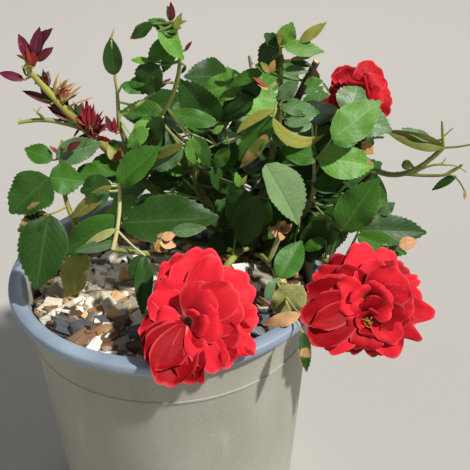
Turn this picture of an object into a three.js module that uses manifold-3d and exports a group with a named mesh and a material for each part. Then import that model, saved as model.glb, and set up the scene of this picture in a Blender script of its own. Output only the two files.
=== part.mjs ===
// A rose bush in its pot, in millimetres, +Z up.
// The origin is the centre of the pot's flat underside; the bush leans towards +X and -Y.
import * as THREE from "three";
import { mergeVertices } from "three/addons/utils/BufferGeometryUtils.js";
import Module from "manifold-3d";

const wasm = await Module();
wasm.setup();

// Pot: a round nursery pot with a rolled rim and drain holes in its floor
const potHeight = 225;
const potFootRadius = 101;
const potNeckRadius = 114.4;
const potRimRadius = 125;
const potMouthRadius = 112.6;
const potLipDepth = 9;
const potWall = 2.4;
const potFloor = 3.2;
const potStepDrop = 44;
const potStepDepth = 0.8;
const potSides = 32;
const drainHoles = 6;
const drainRadius = 6;
const drainCircle = 72;

// Filling: compost up to a little below the rim, with wood chips on it
const fillingTop = 199;
const fillingCrown = 3;
const chipCount = 34;
const chipReach = 101;
const chipLength = [12, 27];
const chipWidth = [8, 16];
const chipThickness = [4, 7];
const chipClearOfStock = 17;

// Rootstock: the knobbly foot that all the canes rise from
const stock = { x: 66, y: 38, bottom: 196, top: 237 };
const stockRadii = [8.5, 9.5, 8.5, 10.5, 9.5, 11, 8, 4.5];
const stockSides = 10;

// Plant: clearances, leaf section and twig section
const clearance = 0.35;
const sliver = 0.02;
const twigSides = 3;
const caneSides = 5;
const caneSteps = 6;
const stemSides = 4;
const stemSteps = 4;
const petioleRadius = [1.0, 0.7];
const sideTwigRadius = [1.5, 1.0];
const wildRatio = 0.62;
const leafThickness = 0.022;
const leafFold = 0.16;
const leafCurl = 0.1;
const longLeaf = 34;
const crownReach = 148;
const crownBottom = 236;
const crownTop = 392;
const sunAzimuth = -85;
const sunHeight = 40;

const leafGreen = "#3d6b2c";
const colours = {
  pot: "#a9a798",
  filling: "#8c7157",
  bark: "#5d5a33",
  young: "#7c8a35",
  leaf: leafGreen,
  maroon: "#6d2530",
  petal: "#d9182b",
};

// Canes: foot, tip, sideways bow at the middle, and thickness at foot and tip
const canes = {
  cane_left: { foot: [58, 38, 224], tip: [-35, 10, 312], bow: [-4, 0, -6], thick: [8, 6.4] },
  cane_left_low: { foot: [57, 35, 212], tip: [-64, -25, 274], bow: [2, 0, 3], thick: [6.6, 4.6] },
  cane_fork: { foot: [-30, 11, 306], tip: [-31, 8, 337], bow: [3, 0, 0], thick: [4.8, 4] },
  cane_middle: { foot: [60, 41, 235], tip: [-2, 15, 341], bow: [-7, 2, 2], thick: [7, 4.6] },
  cane_inner: { foot: [60, 33, 230], tip: [22, 20, 279], bow: [-2, -1, 2], thick: [5.4, 4] },
  cane_crown: { foot: [65, 44, 237], tip: [43, 38, 321], bow: [-2, 5, 0], thick: [7, 5] },
  cane_front: { foot: [59, 32, 209], tip: [-35, -48, 268], bow: [4, -6, 1], thick: [5.4, 3.6] },
  cane_cut: { foot: [70, 42, 238], tip: [110, 10, 384], bow: [-6, 6, -4], thick: [8, 5] },
  cane_right_top: { foot: [69, 34, 238], tip: [85, 20, 335], bow: [1, 3, 0], thick: [7, 4.6] },
  cane_right: { foot: [74, 35, 226], tip: [109, -4, 282], bow: [5, -1, -4], thick: [6.4, 4.2] },
  cane_far_right: { foot: [75, 38, 214], tip: [161, 20, 294], bow: [2, 2, -7], thick: [6.2, 4.8] },
  cane_low_front: { foot: [68, 30, 213], tip: [80, -14, 229], bow: [0, 0, 3], thick: [4.4, 3] },
  cane_left_bloom: { foot: [64, 29, 221], tip: [29.5, -75.7, 234.8], bow: [0, -4, 14], thick: [5.8, 4.4] },
  cane_right_bloom: { foot: [74, 32, 212], tip: [147.5, -35.3, 226.6], bow: [-1, 0, 13], thick: [6, 4.8] },
  cane_back_bloom: { foot: [74, 43, 228], tip: [139.8, 25.8, 322.9], bow: [9, 5, -8], thick: [6.2, 4.4] },
  cane_back_left: { foot: [60, 45, 213], tip: [4, 92, 288], bow: [-2, 2, -4], thick: [6.4, 4.4] },
  cane_back: { foot: [66, 47, 222], tip: [72, 114, 294], bow: [0, 6, -6], thick: [6.4, 4.4] },
  cane_back_right: { foot: [72, 45, 213], tip: [134, 90, 280], bow: [4, 2, -6], thick: [6.4, 4.4] },
};

// Foliage masses. Each has one stem from its cane's tip to `end`.
// A spray: where on the stem, azimuth and rise of its stalk, stalk length, and its leaflets;
// a leaflet: azimuth, rise, length, width over length.
// `wild` adds compound leaves by the seeded rule, and `twigs` adds side twigs that carry some too.
const masses = {
  foliage_left_shoot: {
    on: "cane_left", end: [-77, -18, 402], bow: [2, 0, -2], thick: [6, 4.4], tone: "maroon",
    sprays: [
      [1, 180, 85, 2, [[140, 40, 21, 0.45], [65, 45, 26, 0.5], [100, 50, 22, 0.5], [30, 30, 14, 0.45]]],
      [0.9, 175, -35, 15, [[180, 5, 22, 0.42]]],
      [0.7, 180, -35, 13, [[165, 20, 22, 0.25]]],
      [0.65, -165, 25, 6, [[100, 50, 15, 0.22], [30, 25, 17, 0.22]]],
      [0.5, -165, -10, 7, [[180, 10, 20, 0.35]]],
      [0.4, -35, 20, 5, [[120, 45, 19, 0.2], [85, 60, 15, 0.2], [40, 45, 12, 0.25], [-155, -20, 16, 0.25]]],
    ],
  },
  foliage_left: {
    on: "cane_left_low", end: [-70, -8, 335], bow: [-5, 0, 0], thick: [4.4, 3.4], tone: "leaf",
    sprays: [
      [0.25, -130, 0, 17, [[-105, -50, 54, 0.66], [-155, -20, 25, 0.6]]],
      [0.6, -135, 10, 10, [[-145, -30, 37, 0.95], [0, -5, 24, 0.95]]],
      [0.8, -175, -15, 6, [[170, 20, 22, 0.7], [15, 10, 37, 0.58]]],
      [1, 170, 20, 34, [[175, 15, 10, 0.4]], 1.7],
    ],
    wild: { count: 2, from: 0.3, azimuth: 75, swing: 35, seed: 12 },
  },
  foliage_centre: {
    on: "cane_front", end: [-29, -30, 311], bow: [2, 0, 0], thick: [3.2, 2.4], tone: "leaf",
    sprays: [
      [0.4, 20, -30, 3, [[5, 0, 70, 0.53], [-155, -20, 54, 0.62]]],
      [0.2, 155, 5, 6, [[-140, -38, 51, 0.6]]],
      [1, -170, -15, 5, [[-165, -10, 25, 0.85], [-145, -30, 40, 0.5]]],
      [1, 0, 35, 3, [[50, 40, 32, 0.8]]],
      [0.3, -20, -40, 27, [[-95, -50, 42, 0.32], [-140, -35, 20, 0.6]]],
    ],
  },
  foliage_fork: {
    on: "cane_fork", end: [-30, 6, 365], bow: [0, 0, 0], thick: [3.6, 2.4], tone: "leaf",
    sprays: [
      [1, -75, 85, 11, [[95, 50, 34, 0.52]]],
      [0.3, -35, -45, 18, [[35, 20, 21, 0.75]]],
      [0.95, -25, 60, 9, [[-15, -20, 15, 0.6]]],
      [0.35, 15, 30, 34, [[20, 35, 12, 0.3]], 1.4],
    ],
    wild: { count: 1, from: 0.4, azimuth: 120, swing: 20, seed: 14 },
  },
  foliage_top: {
    on: "cane_middle", end: [12, 0, 420], bow: [4, 0, 0], thick: [4.4, 2.6], tone: "leaf",
    sprays: [
      [0.7, -170, -5, 3, [[180, 5, 30, 0.5], [-170, -5, 24, 0.5]]],
      [0.8, 180, 30, 3, [[160, 25, 17, 0.8], [-50, -45, 26, 0.48]]],
      [0.5, -70, 15, 3, [[175, 10, 30, 0.5], [-165, -10, 16, 0.9]]],
      [0.3, -150, -20, 4, [[155, 30, 32, 0.85]]],
      [1, 60, 70, 3, [[90, 75, 10, 0.4], [20, 35, 12, 0.4]]],
      [0.42, 20, 15, 12, [[15, 60, 26, 0.2]], 1.2],
    ],
    wild: { count: 2, from: 0.35, azimuth: 80, swing: 45, seed: 15 },
  },
  foliage_crown: {
    on: "cane_crown", end: [48, 32, 360], bow: [0, 0, 0], thick: [4.4, 2.6], tone: "leaf",
    sprays: [
      [0.4, -125, -5, 12, [[160, 30, 42, 0.7], [180, 5, 42, 0.6]]],
      [0.6, -145, 0, 8, [[135, 45, 24, 1.1]]],
      [0.65, -160, 45, 3, [[30, 25, 33, 0.7], [80, 50, 27, 0.38]]],
      [0.5, -25, -5, 11, [[-50, -45, 20, 0.8], [-150, -25, 26, 0.6]]],
    ],
    wild: { count: 1, from: 0.2, azimuth: 75, swing: 60, seed: 16 },
  },
  foliage_inner: {
    on: "cane_inner", end: [21, 14, 322], bow: [0, 0, 0], thick: [3.4, 2.2], tone: "leaf",
    sprays: [
      [1, 180, 80, 3, [[-75, -50, 23, 0.55]]],
      [0.95, -160, 45, 21, [[-115, -40, 22, 0.6]]],
      [0.85, -145, -10, 35, [[30, 25, 28, 0.55]]],
      [0.15, -15, 0, 33, [[-130, -40, 30, 0.62], [-60, -45, 42, 0.52]]],
      [0.75, 0, 5, 32, [[-150, -25, 24, 0.7]]],
      [0.1, -40, -50, 42, [[-125, -45, 21, 0.8], [-15, -30, 22, 0.7]]],
    ],
    wild: { count: 2, from: 0.3, azimuth: 150, swing: 30, seed: 17 },
  },
  foliage_right_top: {
    on: "cane_right_top", end: [84, 0, 398], bow: [1, 0, 0], thick: [4.4, 2.2], tone: "leaf",
    sprays: [
      [1, 180, 20, 2, [[-175, 0, 20, 0.85], [120, 45, 15, 0.9], [5, 0, 34, 0.44], [55, 40, 22, 0.8]]],
      [0.97, -15, 25, 15, [[30, 25, 21, 0.38]]],
      [0.88, -30, -45, 3, [[-130, -40, 19, 0.6]]],
      [0.7, 0, -40, 3, [[-16, 6, 22, 0.6], [-24, -15, 28, 0.5]]],
      [0.6, 170, 30, 14, [[120, 55, 8, 0.6]], 1.3],
      [0.55, -25, -25, 3, [[-110, -50, 18, 0.95]]],
      [0.25, -135, -5, 7, [[-155, -20, 34, 0.38], [0, -5, 34, 0.46]]],
      [0.15, -125, -15, 14, [[-145, -30, 37, 0.62], [-10, -20, 42, 0.32]]],
      [0.1, -120, -15, 19, [[-135, -40, 33, 0.36]]],
    ],
    wild: { count: 2, from: 0.3, azimuth: 85, swing: 45, seed: 18 },
  },
  foliage_right: {
    on: "cane_right", end: [109, -10, 318], bow: [1, 0, 0], thick: [3.6, 2.6], tone: "leaf",
    sprays: [
      [1, 0, 20, 3, [[0, -5, 42, 0.66], [170, 15, 27, 0.62]]],
      [0.98, -30, 55, 22, [[25, 25, 46, 0.68], [0, -5, 19, 0.7]]],
      [0.95, 25, 50, 42, [[60, 45, 24, 1.1], [-10, -20, 34, 0.7]]],
      [0.95, -175, 0, 35, [[-45, -45, 49, 0.64]]],
      [0.9, 100, 70, 28, [[-175, 0, 21, 0.5]]],
      [0.1, -35, -20, 34, [[50, 40, 43, 0.75], [0, -5, 64, 0.44]]],
      [0.3, -5, -5, 36, [[-5, -15, 21, 0.9]]],
      [0.45, -105, -15, 3, [[5, 0, 22, 0.7]]],
    ],
    wild: { count: 2, from: 0.3, azimuth: 60, swing: 30, seed: 19 },
  },
  foliage_front: {
    on: "cane_low_front", end: [82, -40, 234], bow: [0, 0, 1], thick: [2.6, 2], tone: "leaf",
    sprays: [
      [1, 0, 45, 3, [[50, 40, 34, 0.6], [-135, -40, 19, 0.55]]],
      [0.95, -40, 0, 21, [[-135, -10, 30, 0.6], [-145, -6, 38, 0.32]]],
      [0.9, -75, -5, 60, [[-85, -50, 27, 0.38]]],
    ],
  },
  spent_twigs_right: {
    on: "cane_far_right", end: [205, 4, 320], bow: [0, 0, -5], thick: [4.6, 3.6], tone: "young",
    sprays: [
      [0.99, -10, 15, 13, [[5, 0, 18, 0.14], [25, 25, 12, 0.16]], 1.3],
      [0.92, 0, -35, 3, [[175, 15, 46, 0.26], [165, 25, 36, 0.2], [95, 50, 21, 0.18], [65, 45, 17, 0.18]]],
      [0.3, 0, 5, 42, [[-150, -25, 25, 0.34], [30, 25, 12, 0.2], [-65, -50, 20, 0.2]], 1.5],
      [0.55, -175, 40, 6, [[-160, -15, 7, 0.9]], 1.5],
      [0.7, 5, -20, 18, [[40, 35, 9, 0.2], [-5, -10, 19, 0.16]], 1.2],
    ],
  },
  foliage_back_left: {
    on: "cane_back_left", end: [-26, 116, 330], bow: [0, 0, 4], thick: [4.2, 2.2], tone: "leaf",
    sprays: [],
    wild: { count: 4, from: 0.1, azimuth: 120, swing: 150, seed: 21 },
    twigs: { count: 2, azimuth: 150, swing: 90, long: 52, leaves: 2, seed: 31 },
  },
  foliage_back: {
    on: "cane_back", end: [66, 146, 344], bow: [0, 2, 4], thick: [4.2, 2.2], tone: "leaf",
    sprays: [],
    wild: { count: 4, from: 0.1, azimuth: 90, swing: 160, seed: 22 },
    twigs: { count: 2, azimuth: 90, swing: 80, long: 50, leaves: 2, seed: 32 },
  },
  foliage_back_right: {
    on: "cane_back_right", end: [166, 116, 316], bow: [2, 0, 4], thick: [4.2, 2.2], tone: "leaf",
    sprays: [],
    wild: { count: 5, from: 0.1, azimuth: 60, swing: 150, seed: 23 },
    twigs: { count: 2, azimuth: 40, swing: 80, long: 46, leaves: 3, seed: 33 },
  },
};

// Blooms: the hip that the petals spring from, the way the bloom faces, and its rings of petals.
// A ring: petals, length, width over length, angle from the axis at the base and at the tip,
// and how far along the hip it springs.
const blooms = {
  bloom_left: {
    hip: [29, -79, 237], azimuth: -98, rise: 34, seed: 41,
    rings: [[4, 30, 0.9, 12, 34, 9], [5, 42, 0.95, 26, 76, 5], [5, 50, 0.95, 52, 110, 1]],
  },
  bloom_right: {
    hip: [147, -39, 228], azimuth: -98, rise: 20, seed: 42,
    rings: [[4, 28, 0.9, 10, 30, 9], [5, 40, 0.95, 24, 66, 5], [6, 51, 0.9, 50, 104, 1]],
  },
  bloom_back: {
    hip: [141, 28, 326], azimuth: 62, rise: 52, seed: 43,
    rings: [[4, 28, 0.9, 8, 24, 8], [5, 38, 1, 34, 62, 3]],
  },
};
const hipRadius = 5.5;
const hipLength = 11;
const petalThickness = 1.1;
const petalCup = 0.1;
const petalRoot = 2;
const petalCrowding = 0.94;
const sepalLength = 17;

// Seeded dice: the same draws on every run
class Dice {
  constructor(seed) {
    this.state = seed;
  }

  roll() {
    this.state = (Math.imul(this.state, 1664525) + 1013904223) >>> 0;
    return this.state / 4294967296;
  }

  between(low, high) {
    return low + (high - low) * this.roll();
  }
}

function vector(list) {
  return new THREE.Vector3(...list);
}

function heading(azimuth, rise) {
  const a = THREE.MathUtils.degToRad(azimuth);
  const r = THREE.MathUtils.degToRad(rise);
  return new THREE.Vector3(Math.cos(r) * Math.cos(a), Math.cos(r) * Math.sin(a), Math.sin(r));
}

// Any closed three.js geometry as a solid that can be joined and cut
function solidOf(geometry) {
  geometry.deleteAttribute("normal");
  geometry.deleteAttribute("uv");
  const merged = mergeVertices(geometry, 1e-4);
  const vertProperties = new Float32Array(merged.attributes.position.array);
  const triVerts = new Uint32Array(merged.index.array);
  return new wasm.Manifold(new wasm.Mesh({ numProp: 3, vertProperties, triVerts }));
}

// Moves every vertex of a geometry to where `place` puts it
function reshape(geometry, place) {
  const position = geometry.attributes.position;
  const point = new THREE.Vector3();
  for (let i = 0; i < position.count; i += 1) {
    point.fromBufferAttribute(position, i);
    const moved = place(point);
    position.setXYZ(i, moved.x, moved.y, moved.z);
  }
  return geometry;
}

// The largest body of a solid, with its slivers cleaned: sealed hollows and loose scraps are dropped
function wholeBody(solid) {
  const body = solid.decompose().reduce((best, next) => (next.volume() > best.volume() ? next : best));
  return body.simplify(sliver);
}

function join(solids) {
  return solids.reduce((sum, solid) => sum.add(solid));
}

// A gently bowed line from foot to tip
function bowedLine(foot, tip, bow) {
  const middle = foot.clone().add(tip).multiplyScalar(0.5).addScaledVector(bow, 2);
  return new THREE.QuadraticBezierCurve3(foot, middle, tip);
}

// A tapering limb: a cylinder laid along a curve. `grow` makes it fatter and longer all round.
function limb(curve, radii, sides, steps, grow = 0) {
  const chord = curve.getPoint(1).sub(curve.getPoint(0)).normalize();
  const lean = Math.abs(chord.z) > 0.8 ? new THREE.Vector3(1, 0, 0) : new THREE.Vector3(0, 0, 1);
  const geometry = new THREE.CylinderGeometry(1, 1, 1, sides, steps);
  return solidOf(reshape(geometry, (p) => {
    const t = p.y + 0.5;
    const along = curve.getTangent(t).normalize();
    const side = new THREE.Vector3().crossVectors(along, lean).normalize();
    const other = new THREE.Vector3().crossVectors(side, along);
    const radius = radii[0] + (radii[1] - radii[0]) * t + grow;
    return curve.getPoint(t)
      .addScaledVector(along, 2 * grow * (t - 0.5))
      .addScaledVector(side, radius * p.x)
      .addScaledVector(other, radius * p.z);
  }));
}

// A closed four-sided body drawn through stations, from one point to another.
// A station: its place, the ways across and up, its half width, half thickness and lift of the edges.
function spindle(stations) {
  const last = stations.length - 1;
  return solidOf(reshape(new THREE.SphereGeometry(1, 4, last), (p) => {
    const ring = Math.sqrt(Math.max(0, 1 - p.y * p.y));
    const k = Math.round(last - (Math.acos(p.y) * last) / Math.PI);
    const { place, side, face, half, thick, lift } = stations[k];
    const across = ring > 1e-6 ? p.x / ring : 0;
    const up = ring > 1e-6 ? p.z / ring : 0;
    return place.clone()
      .addScaledVector(side, across * half)
      .addScaledVector(face, up * thick + Math.abs(across) * lift);
  }));
}

// The ways across a blade and up out of it, for a blade that turns its face to the sun
function bladeFrame(direction) {
  const sun = heading(sunAzimuth, sunHeight);
  const face = sun.addScaledVector(direction, -sun.dot(direction)).normalize();
  const side = new THREE.Vector3().crossVectors(direction, face);
  return { side, face };
}

function leafOutline(t) {
  return Math.sin(Math.PI * t ** 0.8) ** 0.75;
}

// The stations of a leaflet's blade, folded along its midrib and curled to its tip
function bladeStations(base, direction, length, ratio, grow) {
  const { side, face } = bladeFrame(direction);
  const thick = Math.max(0.7, length * leafThickness) / 2;
  const stops = length > longLeaf ? [0.2, 0.52, 0.82] : [0.3, 0.72];
  const at = (t) => base.clone()
    .addScaledVector(direction, length * t)
    .addScaledVector(face, -leafCurl * length * t * t);
  const rings = stops.map((t) => {
    const half = (length * ratio * leafOutline(t)) / 2 + grow;
    return { place: at(t), side, face, half, thick: thick + grow, lift: leafFold * half };
  });
  const tip = at(1).addScaledVector(direction, grow);
  return [...rings, { place: tip, side, face, half: 0, thick: 0, lift: 0 }];
}

// A leaflet whose root is sunk in the stalk it springs from
function leaflet(base, direction, length, ratio, grow = 0) {
  const root = base.clone().addScaledVector(direction, -petioleRadius[1] - grow);
  const start = { place: root, ...bladeFrame(direction), half: 0, thick: 0, lift: 0 };
  return spindle([start, ...bladeStations(base, direction, length, ratio, grow)]);
}

// A stalk through its nodes that runs on into the leaflet at its end
function stalkedLeaf(nodes, radii, direction, length, ratio, grow = 0) {
  const last = nodes.length - 1;
  const along = (k) => nodes[Math.min(k + 1, last)].clone().sub(nodes[Math.min(k, last - 1)]).normalize();
  const start = nodes[0].clone().addScaledVector(along(0), -radii[0]);
  const stations = [{ place: start, ...bladeFrame(along(0)), half: 0, thick: 0, lift: 0 }];
  nodes.forEach((place, k) => {
    const radius = radii[0] + ((radii[1] - radii[0]) * k) / last + grow;
    stations.push({ place, ...bladeFrame(along(k)), half: radius, thick: radius, lift: 0 });
  });
  stations.push(...bladeStations(nodes[last], direction, length, ratio, grow));
  return spindle(stations);
}

// Whether a point is inside the round crown that the seeded leaves keep to
function insideCrown(point) {
  const away = Math.hypot(point.x - stock.x, point.y - stock.y);
  return away < crownReach && point.z > crownBottom && point.z < crownTop;
}

// Whether a probe touches any solid of a list
function touches(probe, others) {
  return others.some((other) => !probe.intersect(other).isEmpty());
}

const bodies = [];
const group = new THREE.Group();

function addPart(name, solid, tone, roughness) {
  const mesh = solid.getMesh();
  const geometry = new THREE.BufferGeometry();
  geometry.setAttribute("position", new THREE.BufferAttribute(mesh.vertProperties, 3));
  geometry.setIndex(new THREE.BufferAttribute(mesh.triVerts, 1));
  geometry.computeVertexNormals();
  const material = new THREE.MeshStandardMaterial({ color: colours[tone], roughness, metalness: 0 });
  const part = new THREE.Mesh(geometry, material);
  part.name = name;
  group.add(part);
  bodies.push(solid);
}

function lathe(profile, sides) {
  const points = profile.map(([radius, height]) => new THREE.Vector2(radius, height));
  return new THREE.LatheGeometry(points, sides).rotateX(Math.PI / 2);
}

function potOuter(z) {
  return potFootRadius + ((potNeckRadius - potFootRadius) / (potHeight - potLipDepth)) * z;
}

function potInner(z) {
  return potOuter(z) - potStepDepth - potWall;
}

// The pot's section, `grow` fatter all round
function potProfile(grow) {
  const top = potHeight + grow;
  const neck = potHeight - potLipDepth;
  const step = potHeight - potStepDrop;
  const rim = potRimRadius + grow;
  const rimMiddle = (potRimRadius + potMouthRadius) / 2;
  return [
    [0, 0],
    [potFootRadius - 2 + grow, 0],
    [potOuter(3) - potStepDepth + grow, 3],
    [potOuter(step) - potStepDepth + grow, step - 0.6],
    [potOuter(step) + grow, step + 0.6],
    [potNeckRadius + grow, neck - grow],
    [rim - 3, neck - 1.5 - grow],
    [rim, neck + 2.5],
    [rim - 0.8, top - 2],
    [rimMiddle + 2, top],
    [rimMiddle - 3.5, top - 0.6],
    [potMouthRadius - grow, top - 4],
    [potInner(neck - 4) - grow, neck - 4],
    [potInner(potFloor) - grow, potFloor],
    [0, potFloor],
  ];
}

// Pot
function makePot() {
  let pot = solidOf(lathe(potProfile(0), potSides));
  for (let k = 0; k < drainHoles; k += 1) {
    const angle = (k * 2 * Math.PI) / drainHoles;
    const hole = new THREE.CylinderGeometry(drainRadius, drainRadius, 3 * potFloor, 8).rotateX(Math.PI / 2);
    hole.translate(drainCircle * Math.cos(angle), drainCircle * Math.sin(angle), potFloor / 2);
    pot = pot.subtract(solidOf(hole));
  }
  addPart("pot", wholeBody(pot), "pot", 0.6);
  return solidOf(lathe(potProfile(clearance), potSides));
}

// Compost with the wood chips that lie on it, cut clear of the rootstock that stands in it
function makeFilling(stockProbe) {
  const floor = potFloor + clearance;
  const wall = (z) => potInner(z) - clearance;
  const crown = fillingTop + fillingCrown;
  const profile = [
    [0, floor],
    [wall(floor), floor],
    [wall(fillingTop), fillingTop],
    [chipReach * 0.6, crown],
    [0, crown],
  ];
  const dice = new Dice(7);
  const solids = [solidOf(lathe(profile, potSides))];
  for (let k = 0; k < chipCount; k += 1) {
    const radius = chipReach * Math.sqrt((k + 0.5) / chipCount) - 4;
    const angle = THREE.MathUtils.degToRad(k * 137.5);
    const length = dice.between(...chipLength);
    const width = dice.between(...chipWidth);
    const thick = dice.between(...chipThickness);
    const turn = dice.between(0, Math.PI);
    const tilt = dice.between(-0.3, 0.3);
    const roll = dice.between(-0.3, 0.3);
    const x = radius * Math.cos(angle);
    const y = radius * Math.sin(angle);
    const stockGap = Math.hypot(x - stock.x, y - stock.y) - length / 2;
    const wallGap = wall(fillingTop) - Math.hypot(x, y) - length / 2;
    if (stockGap < chipClearOfStock || wallGap < 1) continue;
    const chip = new THREE.BoxGeometry(length, width, thick);
    chip.rotateX(tilt).rotateY(roll).rotateZ(turn);
    chip.translate(x, y, crown - 1.5 * (radius / chipReach) + dice.between(0, 2));
    solids.push(solidOf(chip));
  }
  addPart("filling", wholeBody(join(solids).subtract(stockProbe)), "filling", 0.95);
}

// Rootstock, `grow` fatter all round
function stockShape(grow) {
  const rise = (stock.top - stock.bottom) / (stockRadii.length - 1);
  const profile = [
    [0, stock.bottom - grow],
    ...stockRadii.map((radius, k) => [radius + grow, stock.bottom + rise * k + (k ? grow : -grow)]),
    [0, stock.top + grow],
  ];
  return solidOf(lathe(profile, stockSides).translate(stock.x, stock.y, 0));
}

// Canes, each cut clear of the rootstock and of the canes before it
function makeCanes(stockProbe) {
  const probes = [stockProbe];
  for (const [name, cane] of Object.entries(canes)) {
    const curve = bowedLine(vector(cane.foot), vector(cane.tip), vector(cane.bow));
    const radii = cane.thick.map((width) => width / 2);
    let solid = limb(curve, radii, caneSides, caneSteps);
    probes.forEach((probe) => {
      solid = solid.subtract(probe);
    });
    addPart(name, wholeBody(solid), name === "cane_cut" ? "bark" : "young", 0.7);
    probes.push(limb(curve, radii, caneSides, caneSteps, clearance));
  }
  return probes;
}

// A petal: a cupped blade that springs from the hip and bends outwards along an arc
function petal(bloom, spin, ring, dice) {
  const [count, length, ratio, openBase, openTip, seat] = ring;
  const axis = heading(bloom.azimuth, bloom.rise);
  const right = new THREE.Vector3().crossVectors(axis, new THREE.Vector3(0, 0, 1)).normalize();
  const out = right.clone().applyAxisAngle(axis, spin);
  const side = new THREE.Vector3().crossVectors(axis, out);
  const start = THREE.MathUtils.degToRad(openBase);
  const swing = THREE.MathUtils.degToRad(openTip - openBase);
  const reach = length * dice.between(0.92, 1.08);
  const stations = [0, 0.16, 0.5, 0.86, 1].map((t) => {
    const angle = start + swing * t;
    const away = petalRoot + (reach * (Math.cos(start) - Math.cos(angle))) / swing;
    const ahead = seat + (reach * (Math.sin(angle) - Math.sin(start))) / swing;
    const along = out.clone().multiplyScalar(Math.sin(angle)).addScaledVector(axis, Math.cos(angle));
    const face = new THREE.Vector3().crossVectors(side, along);
    const room = away * Math.tan(Math.PI / count) * petalCrowding;
    const half = Math.min((reach * ratio * Math.sin(Math.PI * t ** 1.25) ** 0.4) / 2, room);
    const place = vector(bloom.hip).addScaledVector(out, away).addScaledVector(axis, ahead);
    return { place, side, face, half, thick: petalThickness / 2, lift: petalCup * half };
  });
  return spindle(stations);
}

// A bloom: its hip, five sepals and the rings of petals, fused in one body and cut clear of `probes`
function makeBloom(name, bloom, probes) {
  const dice = new Dice(bloom.seed);
  const axis = heading(bloom.azimuth, bloom.rise);
  const hip = vector(bloom.hip);
  const neck = hip.clone().addScaledVector(axis, -hipLength + hipRadius);
  const front = hip.clone().addScaledVector(axis, hipLength);
  const core = limb(new THREE.LineCurve3(neck, front), [hipRadius * 0.7, hipRadius], 8, 2);
  const solids = [core];
  const side = new THREE.Vector3().crossVectors(axis, new THREE.Vector3(0, 0, 1)).normalize();
  for (let k = 0; k < 5; k += 1) {
    const out = side.clone().applyAxisAngle(axis, (k * 2 * Math.PI) / 5);
    const direction = out.clone().addScaledVector(axis, -0.45).normalize();
    const foot = hip.clone().addScaledVector(out, 2);
    solids.push(leaflet(foot, direction, sepalLength, 0.32));
  }
  let spin = 0;
  for (const ring of bloom.rings) {
    for (let k = 0; k < ring[0]; k += 1) {
      spin += (2 * Math.PI) / ring[0] + dice.between(-0.12, 0.12);
      solids.push(petal(bloom, spin, ring, dice));
    }
    spin += dice.between(0.3, 0.7);
  }
  const solid = probes.reduce((rest, probe) => rest.subtract(probe), join(solids));
  addPart(name, wholeBody(solid), "petal", 0.6);
}

// The seeded compound leaf: a drooping stalk with pairs of leaflets and one at its tip
function compoundLeaf(dice, joint, azimuth) {
  const rise = dice.between(0, 45);
  const stalk = dice.between(14, 24);
  const size = dice.between(34, 50);
  const pairs = dice.roll() < 0.35 ? 1 : 2;
  const leaflets = [];
  const nodes = [joint];
  let place = joint.clone();
  for (let k = 0; k <= pairs; k += 1) {
    const droop = rise - 9 * k;
    const along = heading(azimuth, droop);
    place = place.clone().addScaledVector(along, k === 0 ? stalk : 0.46 * size);
    nodes.push(place);
    if (k === pairs) {
      leaflets.push([place, heading(azimuth + dice.between(-8, 8), droop - 8), size]);
    } else {
      for (const turn of [-62, 62]) {
        const aside = heading(azimuth + turn + dice.between(-9, 9), droop * 0.5 + dice.between(-14, 8));
        leaflets.push([place, aside, size * (0.7 + 0.1 * k)]);
      }
    }
  }
  return { nodes, leaflets };
}

function wildLeaves(wild, curve) {
  const dice = new Dice(wild.seed);
  const leaves = [];
  for (let k = 0; k < wild.count; k += 1) {
    const at = wild.from + (1 - wild.from) * ((k + 0.5) / wild.count);
    const share = (k * 0.618 + 0.3) % 1;
    const azimuth = wild.azimuth + wild.swing * (2 * share - 1) + dice.between(-12, 12);
    leaves.push(compoundLeaf(dice, curve.getPoint(at), azimuth));
  }
  return leaves;
}

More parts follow.
